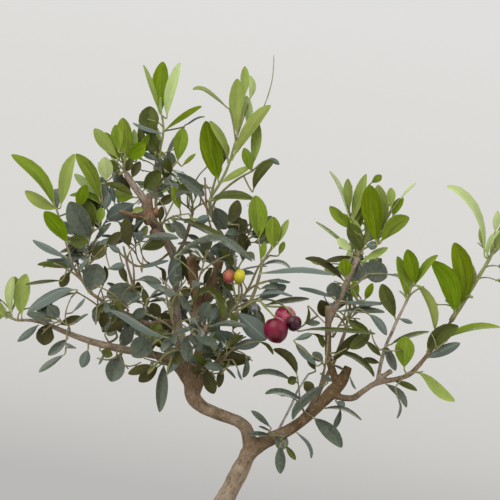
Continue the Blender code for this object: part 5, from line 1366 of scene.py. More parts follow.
class Graph:
    """A material's node tree, built a step at a time."""

    def __init__(self, name: str, roughness: float, specular: float = 0.5) -> None:
        """Start a material with its plain shader.

        Args:
            name: the material's name.
            roughness: how rough the surface is all over.
            specular: how much of the light it mirrors.
        """
        self.material = bpy.data.materials.new(name)
        self.material.use_nodes = True
        self.tree = self.material.node_tree
        self.shader = self.tree.nodes["Principled BSDF"]
        self.shader.inputs["Roughness"].default_value = roughness
        self.shader.inputs["Specular IOR Level"].default_value = specular
        self.where = self.node("ShaderNodeTexCoord")

    def node(self, kind: str) -> bpy.types.Node:
        """Add a node of a kind."""
        return self.tree.nodes.new(kind)

    def feed(self, socket: Socket, value: object) -> None:
        """Link a socket to another, or set it to a value.

        Args:
            socket: what is fed.
            value: a socket, or a plain value.
        """
        if isinstance(value, Socket):
            self.tree.links.new(value, socket)
        else:
            socket.default_value = value

    @property
    def place(self) -> Socket:
        """Return the place on the object."""
        return self.where.outputs["Object"]

    @property
    def map(self) -> Socket:
        """Return the place on the piece's own UV map."""
        return self.where.outputs["UV"]

    def attribute(self, name: str, output: str = "Fac") -> Socket:
        """Return what an attribute of the mesh holds.

        Args:
            name: the attribute's name.
            output: which form of it is read.

        Returns:
            What it holds.
        """
        node = self.node("ShaderNodeAttribute")
        node.attribute_name = name
        return node.outputs[output]

    def math(self, operation: str, first: object, second: object = 0.0, third: float = 0.5) -> Socket:
        """Return the result of a sum on two values, or three where it multiplies and adds.

        Args:
            operation: Blender's name for the sum.
            first: the first value.
            second: the second value.
            third: what is added last.

        Returns:
            The result.
        """
        node = self.node("ShaderNodeMath")
        node.operation = operation
        for number, value in enumerate((first, second, third)):
            self.feed(node.inputs[number], value)
        return node.outputs[0]

    def split(self, vector: Socket) -> list[Socket]:
        """Return the three shares of a vector.

        Args:
            vector: the vector.

        Returns:
            Its shares across, back and up.
        """
        node = self.node("ShaderNodeSeparateXYZ")
        self.feed(node.inputs[0], vector)
        return list(node.outputs)

    def noise(self, vector: Socket, scale: float, detail: float = 3.0, roughness: float = 0.55) -> Socket:
        """Return a cloudy pattern from 0 to 1 about 0.5.

        Args:
            vector: the place that it is read at.
            scale: how many clouds there are to a metre.
            detail: how many finer layers it has.
            roughness: how strong those layers are.

        Returns:
            The pattern.
        """
        node = self.node("ShaderNodeTexNoise")
        self.feed(node.inputs["Vector"], vector)
        node.inputs["Scale"].default_value = scale
        node.inputs["Detail"].default_value = detail
        node.inputs["Roughness"].default_value = roughness
        return node.outputs[0]

    def squeezed(self, vector: Socket, scales: tuple) -> Socket:
        """Return a place whose three shares are scaled.

        Args:
            vector: the place.
            scales: what each share is multiplied by.

        Returns:
            The scaled place.
        """
        node = self.node("ShaderNodeMapping")
        node.inputs["Scale"].default_value = scales
        self.feed(node.inputs["Vector"], vector)
        return node.outputs[0]

    def stretched(self, along: object, across: object, tone: object) -> Socket:
        """Return a place on a leaf that is drawn out along it, other on each leaf.

        Args:
            along: how far along the leaf.
            across: how far across it.
            tone: what differs from leaf to leaf.

        Returns:
            The drawn-out place.
        """
        node = self.node("ShaderNodeCombineXYZ")
        self.feed(node.inputs[0], self.math("MULTIPLY", along, 2.5))
        self.feed(node.inputs[1], self.math("MULTIPLY", across, 14.0))
        self.feed(node.inputs[2], self.math("MULTIPLY", tone, 31.0))
        return node.outputs[0]

    def cells(self, vector: Socket, scale: float) -> Socket:
        """Return the distance to the nearest of scattered spots.

        Args:
            vector: the place that it is read at.
            scale: how many spots to a metre.

        Returns:
            The distance, as a share of that between spots.
        """
        node = self.node("ShaderNodeTexVoronoi")
        self.feed(node.inputs["Vector"], vector)
        node.inputs["Scale"].default_value = scale
        return node.outputs["Distance"]

    def band(self, value: object, low: float, high: float, from_value: float = 0.0,
             to_value: float = 1.0) -> Socket:
        """Return a smooth step between two values as an input goes from low to high.

        Args:
            value: the input.
            low: where the step starts.
            high: where it ends.
            from_value: the result below low.
            to_value: the result above high.

        Returns:
            The result.
        """
        node = self.node("ShaderNodeMapRange")
        node.interpolation_type = "SMOOTHSTEP"
        self.feed(node.inputs["Value"], value)
        node.inputs["From Min"].default_value = low
        node.inputs["From Max"].default_value = high
        node.inputs["To Min"].default_value = from_value
        node.inputs["To Max"].default_value = to_value
        return node.outputs["Result"]

    def mix(self, amount: object, first: object, second: object) -> Socket:
        """Return a colour between two.

        Args:
            amount: the share of the second.
            first: the first colour.
            second: the second colour.

        Returns:
            The mixed colour.
        """
        node = self.node("ShaderNodeMix")
        node.data_type = "RGBA"
        self.feed(node.inputs[0], amount)
        self.feed(node.inputs[6], first)
        self.feed(node.inputs[7], second)
        return node.outputs[2]

    def lit(self, colour: object, value: object, hue: object = 0.5) -> Socket:
        """Return a colour with its lightness and hue shifted.

        Args:
            colour: the colour.
            value: what its lightness is multiplied by.
            hue: its hue's shift, where 0.5 is none.

        Returns:
            The shifted colour.
        """
        node = self.node("ShaderNodeHueSaturation")
        self.feed(node.inputs["Color"], colour)
        self.feed(node.inputs["Value"], value)
        self.feed(node.inputs["Hue"], hue)
        return node.outputs[0]

    def over(self, base: object, colour: object, pattern: object, low: float, high: float,
             first: float, last: float = 0.0) -> Socket:
        """Lay a colour over a base by a pattern.

        Args:
            base: the colour below.
            colour: the colour that is laid over it.
            pattern: what its share follows.
            low: where the share starts to change.
            high: where it ends.
            first: the share below low.
            last: the share above high.

        Returns:
            The colour with the other laid over it.
        """
        return self.mix(self.band(pattern, low, high, first, last), base, colour)

    def speckled(self, base: object, colour: object, scale: float, low: float, high: float, share: float,
                 vector: object = None) -> Socket:
        """Scatter spots of a colour over a base.

        Args:
            base: the colour below.
            colour: the colour of the spots.
            scale: how many spots there are to a metre.
            low: how wide a spot's heart is, as a share of the distance between spots.
            high: how wide the whole spot is.
            share: how much of the colour shows in the heart.
            vector: the place that they are read at, where it isn't the place on the object.

        Returns:
            The colour with its spots.
        """
        spots = self.cells(self.place if vector is None else vector, scale)
        return self.over(base, colour, spots, low, high, share)

    def finish(self, colour: object, height: object, depth_m: float, strength: float = 1.0,
               roughness: object = None) -> bpy.types.Material:
        """Set the colour and the relief, and return the material.

        Args:
            colour: the base colour.
            height: what the relief follows, from 0 to 1.
            depth_m: how deep the relief is, in metres.
            strength: how much of it shows.
            roughness: what the roughness follows, where it varies.

        Returns:
            The finished material.
        """
        self.feed(self.shader.inputs["Base Color"], colour)
        bump = self.node("ShaderNodeBump")
        bump.inputs["Strength"].default_value = strength
        bump.inputs["Distance"].default_value = depth_m
        self.feed(bump.inputs["Height"], height)
        self.feed(self.shader.inputs["Normal"], bump.outputs[0])
        if roughness is not None:
            self.feed(self.shader.inputs["Roughness"], roughness)
        return self.material


@dataclass(frozen=True)
class LeafFinish:
    """A leaf's two faces: the satin upper one and the felted one below it.

    The rib and the spots with their painted sheen are shares of their colours, and the streak pattern with
    its painted sheen and the painted shade on one half and at the foot are steps of lightness.
    """

    name: str
    upper: tuple
    under: tuple
    roughness: float = 0.42
    rib: float = 0.3
    specular: float = 0.15
    # Spots, partly the leaf's own and partly painted sheen, as a share of their colour
    spots_and_sheen: float = 0.08
    # A streak pattern, partly the leaf's own and partly painted sheen
    sheen_streaks: float = 0.12
    # Painted shade on one half of the leaf and at its foot, with painted light towards its tip
    painted_shading: float = 0.11
    veins: float = 11.0
    vein_slant: float = 6.0
    relief_m: float = 0.00006
    stalk: tuple = linear(168, 170, 112)
    under_rib: tuple = linear(176, 182, 136)
    # The pale grey of the spots and their painted sheen
    spot_and_sheen_grey: tuple = linear(150, 160, 150)

    def ways(self, graph: Graph) -> tuple[Socket, ...]:
        """Return how far along the leaf, how far across it and how far off its rib a place is."""
        along, across, _ = graph.split(graph.map)
        return along, across, graph.math("ABSOLUTE", graph.math("SUBTRACT", across, 0.5))

    def upper_face(self) -> bpy.types.Material:
        """Return the upper face: a rib, faint veins, a pale margin, mottled spots and a streak pattern that
        are partly the leaf's own and partly painted sheen, and painted shade on one half and at the foot.

        Returns:
            The material of the upper face.
        """
        graph = Graph(self.name + " leaf above", self.roughness, self.specular)
        along, across, off_rib = self.ways(graph)
        tone = graph.attribute("leaf_tone")
        cloud = graph.noise(graph.place, 160.0, 4.0)
        blotch = graph.noise(graph.place, 420.0, 4.0, 0.65)
        streak = graph.noise(graph.stretched(along, across, tone), 1.0, 3.0, 0.6)
        value = graph.math("MULTIPLY_ADD", tone, 0.2)
        value = graph.math("ADD", value, graph.band(cloud, 0.2, 0.8, 0.84, 1.1))
        # A streak pattern along the leaf, partly its own and partly painted sheen
        value = graph.math("ADD", value, graph.band(streak, 0.3, 0.7, -self.sheen_streaks, self.sheen_streaks))
        # Darker patches, and pale grey ones further down, partly spots on the leaf and partly painted sheen
        value = graph.math("MULTIPLY", value, graph.band(blotch, 0.3, 0.5, 1.0 - self.spots_and_sheen / 2, 1.0))
        # Painted shade: one half of the leaf darker than the other, as its fold turns from the light, and
        # the leaf darker at its foot and lighter towards its tip
        half = graph.math("MULTIPLY", graph.band(across, 0.44, 0.56, -self.painted_shading, self.painted_shading),
                          graph.band(tone, -0.2, 0.2, -1.0, 1.0))
        ends = graph.band(along, 0.1, 0.95, -self.painted_shading, self.painted_shading)
        value = graph.math("ADD", value, graph.math("ADD", half, ends))
        hue = graph.math("MULTIPLY_ADD", tone, 0.008)
        # The streak pattern's painted sheen shifts the hue too
        hue = graph.math("ADD", hue, graph.band(streak, 0.3, 0.7, 0.006, -0.008))
        base = graph.lit(self.upper, value, hue)
        rows = graph.math("SUBTRACT", graph.math("MULTIPLY", along, self.veins),
                          graph.math("MULTIPLY", off_rib, self.vein_slant))
        vein = graph.math("SINE", graph.math("MULTIPLY", rows, math.tau))
        base = graph.over(base, scaled(self.upper, 1.7), vein, 0.7, 1.0, 0.0, 0.05)
        # Pale grey patches, partly spots on the leaf and partly painted sheen
        base = graph.over(base, self.spot_and_sheen_colour, blotch, 0.48, 0.72, 0.0, self.spots_and_sheen)
        base = graph.over(base, scaled(self.under, 1.15), off_rib, 0.012, 0.035, self.rib)
        base = graph.over(base, scaled(self.under, 1.1), off_rib, 0.46, 0.5, 0.0, 0.35)
        base = graph.over(base, self.stalk, along, 0.03, 0.14, 0.7)
        fine = graph.noise(graph.place, 900.0, 3.0)
        height = graph.math("ADD", graph.math("MULTIPLY", fine, 0.4), graph.math("MULTIPLY", vein, 0.15))
        roughness = graph.band(blotch, 0.3, 0.7, self.roughness - 0.06, self.roughness + 0.14)
        return graph.finish(base, height, self.relief_m, 0.15, roughness)

    @property
    def spot_and_sheen_colour(self) -> tuple:
        """Return the pale grey that the upper face takes in its spots and painted sheen."""
        return tuple(0.45 * own + 0.55 * grey for own, grey in zip(self.upper, self.spot_and_sheen_grey))

    def under_face(self) -> bpy.types.Material:
        """Return the under face: pale felt with a raised rib.

        Returns:
            The material of the under face.
        """
        graph = Graph(self.name + " leaf below", 0.75, 0.15)
        graph.shader.inputs["Sheen Weight"].default_value = 0.2
        along, _, off_rib = self.ways(graph)
        scurf = graph.noise(graph.place, 1300.0, 2.0)
        tone = graph.math("MULTIPLY_ADD", graph.attribute("leaf_tone"), 0.1)
        value = graph.math("ADD", tone, graph.band(scurf, 0.3, 0.7, 0.84, 1.1))
        base = graph.lit(self.under, value)
        base = graph.over(base, self.under_rib, off_rib, 0.02, 0.05, 0.25)
        base = graph.over(base, self.stalk, along, 0.03, 0.14, 0.7)
        return graph.finish(base, scurf, self.relief_m, 0.15)


# The finishes of the tints: the two colours, and where they aren't as plain, the roughness, the rib,
# the shine, the spots with painted sheen, the streak pattern with painted sheen and the painted shade on one
# half and at the foot
LEAF_FINISHES = {
    # Pale: partly young leaves' own paler green and partly painted light shining through them
    Tint.PALE: LeafFinish("pale", linear(147, 161, 106), linear(160, 172, 130)),
    Tint.YOUNG: LeafFinish("young", linear(112, 124, 58), linear(138, 148, 102)),
    Tint.DEEP: LeafFinish("deep", linear(80, 98, 4), linear(112, 128, 66),
                          0.42, 0.3, 0.06, 0.04, 0.34),
    Tint.OLIVE: LeafFinish("olive", linear(90, 106, 26), linear(124, 136, 82),
                           0.42, 0.3, 0.1, 0.04, 0.3, 0.15),
    Tint.GREEN: LeafFinish("green", linear(57, 63, 12), linear(94, 100, 68),
                           0.36, 0.2, 0.22, 0.12, 0.3, 0.2),
    Tint.BLUE: LeafFinish("blue", linear(62, 69, 55), linear(96, 100, 86),
                          0.28, 0.1, 0.4, 0.28, 0.34, 0.21),
    Tint.GREY: LeafFinish("grey", linear(64, 73, 59), linear(80, 90, 83),
                          0.28, 0.1, 0.4, 0.25, 0.24, 0.15),
    # Dark brown: painted shade, for leaves deep in the crown's shade
    Tint.BROWN: LeafFinish("brown", linear(53, 52, 18), linear(84, 82, 54),
                           0.38, 0.15, 0.2, 0.08, 0.28, 0.24),
}

# How far in front of the trunk the known leaves of each tint look for a twig, as depths
DEPTHS = {
    Tint.PALE: -4.0, Tint.YOUNG: -6.0, Tint.DEEP: -6.0, Tint.OLIVE: -8.0, Tint.GREEN: -10.0,
    Tint.BLUE: -32.0, Tint.GREY: -20.0, Tint.BROWN: -6.0,
}


def new_object(name: str, solid: Solid, finishes: list[bpy.types.Material]) -> bpy.types.Object:
    """Make an object from a solid in millimetres.

    Args:
        name: the object's name.
        solid: its points and faces.
        finishes: what fills its material slots.

    Returns:
        The object, linked to the scene.
    """
    points, faces = solid
    mesh = bpy.data.meshes.new(name)
    mesh.from_pydata([tuple(Vector(point) * MM) for point in points], [], faces)
    for finish in finishes:
        mesh.materials.append(finish)
    made = bpy.data.objects.new(name, mesh)
    bpy.context.scene.collection.objects.link(made)
    return made


def dress(piece: bpy.types.Object, slot: str, *nodes: str) -> None:
    """Let a piece ride on the plant and hide the solids that it stands for.

    Args:
        piece: the finished piece.
        slot: the slot of its material; not used.
        nodes: the solids that it stands for.
    """
    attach(piece, BODY)
    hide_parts(*nodes)
    triangles = sum(len(face.vertices) - 2 for face in piece.data.polygons)
    LOG.info("%s: %d triangles", piece.name, triangles)


def only(*chosen: bpy.types.Object) -> None:
    """Select only the given objects and make the last one active."""
    bpy.ops.object.select_all(action="DESELECT")
    for piece in chosen:
        piece.select_set(True)
    bpy.context.view_layer.objects.active = chosen[-1]


def added(operator: Callable, name: str, **settings: object) -> bpy.types.Object:
    """Run an operator that adds or joins, and name what it leaves.

    Args:
        operator: what adds a primitive, or joins what is selected.
        name: the new object's name.
        settings: what the operator is told. With none, the selection stays.

    Returns:
        The new object.
    """
    if settings:
        bpy.ops.object.select_all(action="DESELECT")
    operator(**settings)
    piece = bpy.context.view_layer.objects.active
    piece.name = name
    piece.data.name = name
    return piece


def store(piece: bpy.types.Object, name: str, values: object) -> None:
    """Store a value for each point of a piece, for its material to read."""
    piece.data.attributes.new(name, "FLOAT", "POINT").data.foreach_set("value", values)


def apply_modifier(piece: bpy.types.Object, kind: str, **settings: object) -> None:
    """Add a modifier with its settings and apply it.

    Args:
        piece: what it shapes.
        kind: Blender's name for it.
        settings: its settings by name.
    """
    only(piece)
    modifier = piece.modifiers.new(kind.lower(), kind)
    for name, value in settings.items():
        setattr(modifier, name, value)
    bpy.ops.object.modifier_apply(modifier=modifier.name)


@dataclass
class Foliage:
    """The leaves, each a thin closed blade of a few dozen faces, joined by their tint."""

    growth: Growth
    stations: tuple = (0.0, 0.06, 0.11, 0.18, 0.3, 0.44, 0.58, 0.72, 0.84, 0.93, 0.98)
    thickness: float = 0.38
    petiole: float = 0.07
    petiole_half: float = 0.5
    roundness: float = 0.62
    curl: float = 1.3
    groove: float = 0.12
    keel: float = 1.5
    petiole_depth: float = 1.6
    soft_angle: float = 70.0

    def outline(self, share: float, blade: Blade) -> float:
        """Return the half width of a blade at a share of its length.

        Args:
            share: how far along the blade.
            blade: the leaf.

        Returns:
            Half its width there.
        """
        if share <= self.petiole:
            return self.petiole_half
        part = (share - self.petiole) / (1 - self.petiole)
        power = math.log(0.5) / math.log(blade.broadest)
        half = blade.width / 2 * math.sin(math.pi * part ** power) ** self.roundness
        return max(half, self.petiole_half * (1 - part))

    def blade_solid(self, blade: Blade) -> tuple[Solid, list[int], list[tuple]]:
        """Make a blade's mesh.

        Args:
            blade: the leaf.

        Returns:
            Its solid, the material slot of each face, and where each point is along and across.
        """
        points, faces, slots, where = [], [], [], []
        side = None
        for share in self.stations:
            middle, along = point_along(blade.line, share)
            across = along.cross(perpendicular(blade.up, along)).normalized()
            side = across if side is None or across.dot(side) > 0 else -across
            up = side.cross(along).normalized()
            half = self.outline(share, blade)
            depth = self.thickness * (self.petiole_depth if share <= self.petiole else 1.0)
            above = [(step, 0.0 if step else self.groove) for step in (-1.0, -0.5, 0.0, 0.5, 1.0)]
            below = [(step, depth * (1.0 if step else self.keel)) for step in (0.5, 0.0, -0.5)]
            for step, drop in above + below:
                lift = half * blade.fold * (abs(step) ** self.curl) - drop
                points.append(middle + side * half * step + up * lift)
                where.append((share, 0.5 + 0.5 * step))
        ring = 8
        for station in range(len(self.stations) - 1):
            for step in range(ring):
                here = station * ring + step
                there = station * ring + (step + 1) % ring
                faces.append((here, here + ring, there + ring, there))
                slots.append(0 if step < 4 else 1)
        last = (len(self.stations) - 1) * ring
        points.append(blade.line[-1])
        where.append((1.0, 0.5))
        for step in range(ring):
            faces.append((last + step, len(points) - 1, last + (step + 1) % ring))
            slots.append(0 if step < 4 else 1)
        faces.append(tuple(range(ring)))
        slots.append(1)
        return (points, faces), slots, where

    def build(self) -> None:
        """Join the blades of each tint into a piece and dress it."""
        for tint in Tint:
            blades = [leaf for leaf in self.growth.leaves if leaf.tint is tint]
            self.build_tint(tint, blades)

    def build_tint(self, tint: Tint, blades: list[Blade]) -> None:
        """Join the blades of one tint into a piece.

        Args:
            tint: the tint.
            blades: the leaves that have it.
        """
        solids, slots, where, tones = [], [], [], []
        for blade in blades:
            solid, own_slots, own_where = self.blade_solid(blade)
            solids.append(solid)
            slots += own_slots
            where += own_where
            tones += [blade.tone] * len(own_where)
        finish = LEAF_FINISHES[tint]
        faces = [finish.upper_face(), finish.under_face()]
        piece = new_object("leaves_" + tint.value, joined(solids), faces)
        mesh = piece.data
        mesh.polygons.foreach_set("material_index", slots)
        mesh.polygons.foreach_set("use_smooth", [True] * len(slots))
        layer = mesh.uv_layers.new(name="leaf_map")
        corners = np.zeros(len(mesh.loops), dtype=np.int32)
        mesh.loops.foreach_get("vertex_index", corners)
        layer.data.foreach_set("uv", np.array(where)[corners].ravel())
        store(piece, "leaf_tone", tones)
        mesh.update()
        only(piece)
        bpy.ops.object.shade_smooth_by_angle(angle=math.radians(self.soft_angle))
        dress(piece, "foliage", *[spray.name for spray in SPRAYS])
        LOG.info("%s: %d leaves", piece.name, len(blades))


@dataclass(frozen=True)
class TwigFinish:
    """The smooth bark of fine twigs: green where it is young, grey-brown where it is older."""

    young: tuple = linear(138, 146, 86)
    old: tuple = linear(124, 110, 86)
    speck: tuple = linear(196, 186, 160)

    def material(self) -> bpy.types.Material:
        """Return the twigs' finish.

        Returns:
            The material of fine twigs.
        """
        graph = Graph("twig bark", 0.7, 0.3)
        cloud = graph.noise(graph.place, 380.0, 4.0)
        base = graph.mix(graph.attribute("youth"), self.old, self.young)
        base = graph.lit(base, graph.band(cloud, 0.25, 0.75, 0.72, 1.18))
        base = graph.speckled(base, self.speck, 900.0, 0.12, 0.25, 0.35)
        return graph.finish(base, cloud, 0.0003, 0.5)


@dataclass(frozen=True)
class BarkFinish:
    """The thin grey-brown bark of the trunk and boughs, with flecks, furrows and red-brown patches, and
    darker brown on limbs in the crown's shade, partly their own colour and partly painted shade.
    """

    light: tuple = linear(173, 156, 136)
    dark: tuple = linear(138, 120, 98)
    # Brown bark, darkened further as painted shade on the limbs in the crown's shade; the darker one also
    # fills furrows and cracks
    brown_light: tuple = linear(107, 85, 52)
    brown_dark: tuple = linear(78, 59, 31)
    red: tuple = linear(122, 76, 50)
    grey: tuple = linear(186, 184, 183)

    def material(self) -> bpy.types.Material:
        """Return the bark, whose pattern follows the way each limb runs.

        Returns:
            The material of the trunk and boughs.
        """
        graph = Graph("olive bark", 0.82, 0.25)
        grain = graph.attribute("grain", "Vector")
        run = graph.squeezed(grain, (1.0, 1.0, 0.28))
        broad = graph.noise(grain, 130.0, 5.0, 0.6)
        streak = graph.noise(run, 520.0, 5.0, 0.65)
        fresh = graph.mix(graph.band(broad, 0.25, 0.75), self.dark, self.light)
        # Brown bark where limbs take it, partly their own colour and partly painted shade of the crown
        brown_and_shade = graph.mix(graph.band(broad, 0.25, 0.75), self.brown_dark, self.brown_light)
        base = graph.mix(graph.attribute("browned"), fresh, brown_and_shade)
        base = graph.mix(graph.attribute("weathered"), base, self.grey)
        ruddy = graph.math("MULTIPLY", graph.attribute("ruddy"), graph.band(broad, 0.25, 0.6, 0.9, 0.35))
        base = graph.mix(ruddy, base, self.red)
        ring = graph.noise(graph.squeezed(grain, (0.5, 0.5, 3.0)), 260.0, 3.0, 0.6)
        base = graph.lit(base, graph.band(ring, 0.3, 0.7, 0.88, 1.1))
        base = graph.over(base, scaled(self.brown_dark, 0.8), streak, 0.38, 0.48, 0.6)
        base = graph.speckled(base, scaled(self.light, 1.2), 640.0, 0.12, 0.24, 0.35, run)
        cracked = graph.squeezed(grain, (1.0, 1.0, 0.5))
        base = graph.speckled(base, scaled(self.brown_dark, 0.6), 420.0, 0.1, 0.2, 0.65, cracked)
        base = graph.speckled(base, self.red, 260.0, 0.06, 0.15, 0.7)
        base = graph.speckled(base, scaled(self.brown_dark, 0.6), 1100.0, 0.1, 0.2, 0.3)
        return graph.finish(base, streak, 0.0005, 0.5)


@dataclass(frozen=True)
class CutWoodFinish:
    """A weathered cut: rings round a darker heart."""

    pale: tuple = linear(168, 132, 104)
    dark: tuple = linear(92, 62, 44)
    rings: float = 9000.0

    def material(self) -> bpy.types.Material:
        """Return the cut wood.

        Returns:
            The material of cut ends.
        """
        graph = Graph("cut wood", 0.85, 0.2)
        reach = graph.node("ShaderNodeVectorMath")
        reach.operation = "LENGTH"
        graph.feed(reach.inputs[0], graph.squeezed(graph.attribute("grain", "Vector"), (1.0, 1.0, 0.0)))
        wobble = graph.noise(graph.place, 500.0, 3.0)
        ring = graph.math("SINE", graph.math("MULTIPLY_ADD", reach.outputs["Value"], self.rings))
        base = graph.over(self.pale, self.dark, ring, -1.0, 1.0, 0.15, 0.6)
        base = graph.over(base, self.dark, wobble, 0.35, 0.65, 0.5)
        return graph.finish(base, wobble, 0.0005, 0.6)


# How brown and darkened by painted shade of the crown, how ruddy and how weathered to grey the bark of each
# limb is, and of the others
BARK_TONES = {
    "trunk": (0.05, 0.1, 0.0), "left_bough": (0.3, 0.2, 0.0), "right_bough": (1.0, 0.15, 0.0),
    "lower_left_bough": (0.55, 0.15, 0.1), "upper_left_bough": (0.05, 0.3, 0.2),
    "centre_bough": (0.8, 0.3, 0.0), "cut_stump": (1.0, 0.5, 0.0), "right_upright_bough": (0.85, 0.1, 0.0),
    "knuckle_bough": (0.15, 0.0, 0.1), "lower_right_bough": (0.65, 0.1, 0.05),
    "right_twig_bough": (0.2, 0.0, 0.2), "grey_cut_twig": (0.0, 0.0, 1.0), "dead_twig": (0.6, 0.9, 0.0),
    "side_stub": (0.2, 0.2, 0.1), "left_shoulder": (0.9, 0.35, 0.0), "right_shoulder": (1.0, 0.3, 0.0),
    "front_cut_twig": (0.2, 0.0, 0.3), "upper_knot": (0.4, 0.9, 0.0), "lower_knot": (0.7, 0.5, 0.0),
    "centre_knot": (0.4, 0.2, 0.0), "ruddy_stub": (0.8, 1.0, 0.0),
}
PLAIN_TONE = (0.6, 0.2, 0.0)

# Limbs whose bark is knobbly, and how many times as rough it is
ROUGH_LIMBS = {
    "upper_left_bough": 2.4, "centre_bough": 2.0, "cut_stump": 1.6, "dead_twig": 2.0, "upper_knot": 3.0,
    "lower_knot": 3.0, "centre_knot": 2.4,
}


@dataclass
class Wood:
    """The trunk, the boughs and the roots as one barked piece, and the fine twigs."""

    growth: Growth
    voxel_m: float = 0.00063
    sides: int = 20
    foot_sink: float = 0.8
    foot_girth: float = 1.12
    trunk_sink: float = 1.6
    lump: float = 0.064
    lump_scale: float = 0.16
    ridge: float = 0.03
    ridge_scales: tuple = (0.9, 0.22)
    nick: float = 0.08
    nick_scales: tuple = (2.1, 0.5)
    nearest: int = 6
    neighbours: int = 14
    twig_sides: int = 6
    twig_wobble: float = 0.14
    twig_wobble_scale: float = 0.45
    roots: tuple = (
        ((-20, 2, 62), (-10, 5, 56.4), (4, 9, 53.6)),
        ((-30, -3, 62), (-39, -8, 56.4), (-53, -13, 53.6)),
        ((-23, -5, 61), (-19, -14, 56.2), (-12, -26, 53.5)),
        ((-27, 5, 61), (-33, 14, 56.2), (-40, 27, 53.5)),
        ((-22, 5, 60), (-16, 14, 56), (-12, 24, 53.5)),
    )
    root_radii: tuple = (3.6, 1.6)
    cut: tuple = ("cut_stump", "front_cut_twig", "grey_cut_twig", "top_cut_twig", "side_stub",
                  "right_upright_bough", "right_bough", "dead_twig", "ruddy_stub")

    def tubes(self) -> list[tuple]:
        """Return each limb's and root's name, middle line and radii.

        Returns:
            Rows of a name, the points of a line and the radius at each.
        """
        rows = []
        for limb in (*LIMBS, *SHOULDERS):
            path = smooth_path(limb.path, WOOD_STEP)
            length = length_of(path)
            radii = [limb_radius(limb, share, length) for share in shares_along(path)]
            if limb.name == "trunk":
                path, radii = self.rooted(path, radii)
            elif limb not in SHOULDERS:
                back = (path[0] - path[1]).normalized()
                path = [path[0] + back * radii[0] * self.foot_sink] + path
                radii = [radii[0] * self.foot_girth] + radii
            rows.append((limb.name, path, radii))
        for number, root in enumerate(self.roots):
            path = smooth_path(root, WOOD_STEP)
            first, last = self.root_radii
            rows.append(("root_%d" % number, path,
                         [first + (last - first) * share for share in shares_along(path)]))
        return rows

    def rooted(self, path: list[Vector], radii: list[float]) -> tuple[list[Vector], list[float]]:
        """Return the trunk's line and radii with its wide foot, carried a little into the soil.

        Args:
            path: the trunk's middle line.
            radii: its radius at each point.

        Returns:
            The longer line and its radii.
        """
        path = [path[0] - Vector((0, 0, self.trunk_sink))] + path
        radii = [radii[0]] + radii
        wide = [radius + FLARE_REACH * math.exp(-(point.z - path[1].z) / FLARE_HEIGHT) * FLARE_ROUND
                for point, radius in zip(path, radii)]
        return path, wide

    def build(self) -> None:
        """Build the barked piece and the twigs, and dress them."""
        rows = self.tubes()
        limbs = [new_object("limb", tube(path, radii, self.sides), []) for _, path, radii in rows]
        only(*limbs)
        wood = added(bpy.ops.object.join, "barked_wood")
        apply_modifier(wood, "REMESH", mode="VOXEL", voxel_size=self.voxel_m)
        apply_modifier(wood, "SMOOTH", factor=0.5, iterations=5)
        wood.data.materials.append(BarkFinish().material())
        wood.data.materials.append(CutWoodFinish().material())
        self.relieve(wood, rows)
        wood.data.shade_smooth()
        dress(wood, "bark", *[limb.name for limb in LIMBS])
        self.build_twigs()

    def relieve(self, wood: bpy.types.Object, rows: list[tuple]) -> None:
        """Raise the bark's relief and store how the grain runs, limb by limb.

        Args:
            wood: the joined wood.
            rows: each limb's name, line and radii.
        """
        samples = []
        for name, path, radii in rows:
            run = 0.0
            for index, frame_here in enumerate(ring_frames(path)):
                if index:
                    run += (path[index] - path[index - 1]).length
                samples.append((path[index], radii[index], frame_here, run, name, index == len(path) - 1))
        finder = KDTree(len(samples))
        for index, sample in enumerate(samples):
            finder.insert(sample[0], index)
        finder.balance()
        mesh = wood.data
        count = len(mesh.vertices)
        grain = np.zeros((count, 3))
        tones = np.zeros((3, count))
        ends = np.zeros(count, dtype=bool)
        shifts = np.zeros((count, 3))
        for index, vertex in enumerate(mesh.vertices):
            spot = vertex.co / MM
            found = finder.find_n(spot, self.neighbours)
            near = min(found[:self.nearest], key=lambda each: each[2] - samples[each[1]][1])
            middle, radius, (along, across, up), run, name, last = samples[near[1]]
            out = spot - middle
            place = Vector((out.dot(across), out.dot(up), run + out.dot(along)))
            grain[index] = place * MM
            lump = noise.noise(spot * self.lump_scale + Vector((3, 7, 1)))
            ridge, nick = (noise.noise(Vector((place.x * wide, place.y * wide, place.z * long)))
                           for wide, long in (self.ridge_scales, self.nick_scales))
            rough = ROUGH_LIMBS.get(name, 1.0)
            rise = radius * rough * (self.lump * lump + self.ridge * ridge) + self.nick * nick
            shifts[index] = vertex.normal * rise * MM
            # Each point takes the tones of the limbs near it: brown with painted shade of the crown, ruddy
            # and weathered
            around = [BARK_TONES.get(samples[each[1]][4], PLAIN_TONE) for each in found]
            tones[:, index] = np.mean(around, axis=0)
            tones[1, index] *= 0.6 + 0.7 * noise.noise(spot * 0.05)
            tones[2, index] = BARK_TONES.get(name, PLAIN_TONE)[2]
            if last and name in self.cut and out.dot(along) > radius * 0.25:
                ends[index] = True
                tones[1, index] = 1.0
        places = np.zeros(count * 3)
        mesh.vertices.foreach_get("co", places)
        mesh.vertices.foreach_set("co", (places.reshape(-1, 3) + shifts).ravel())
        mesh.attributes.new("grain", "FLOAT_VECTOR", "POINT").data.foreach_set("vector", grain.ravel())
        for name, values in zip(("browned", "ruddy", "weathered"), tones):
            store(wood, name, values)
        slots = [int(all(ends[corner] for corner in face.vertices)) for face in mesh.polygons]
        mesh.polygons.foreach_set("material_index", slots)
        mesh.update()

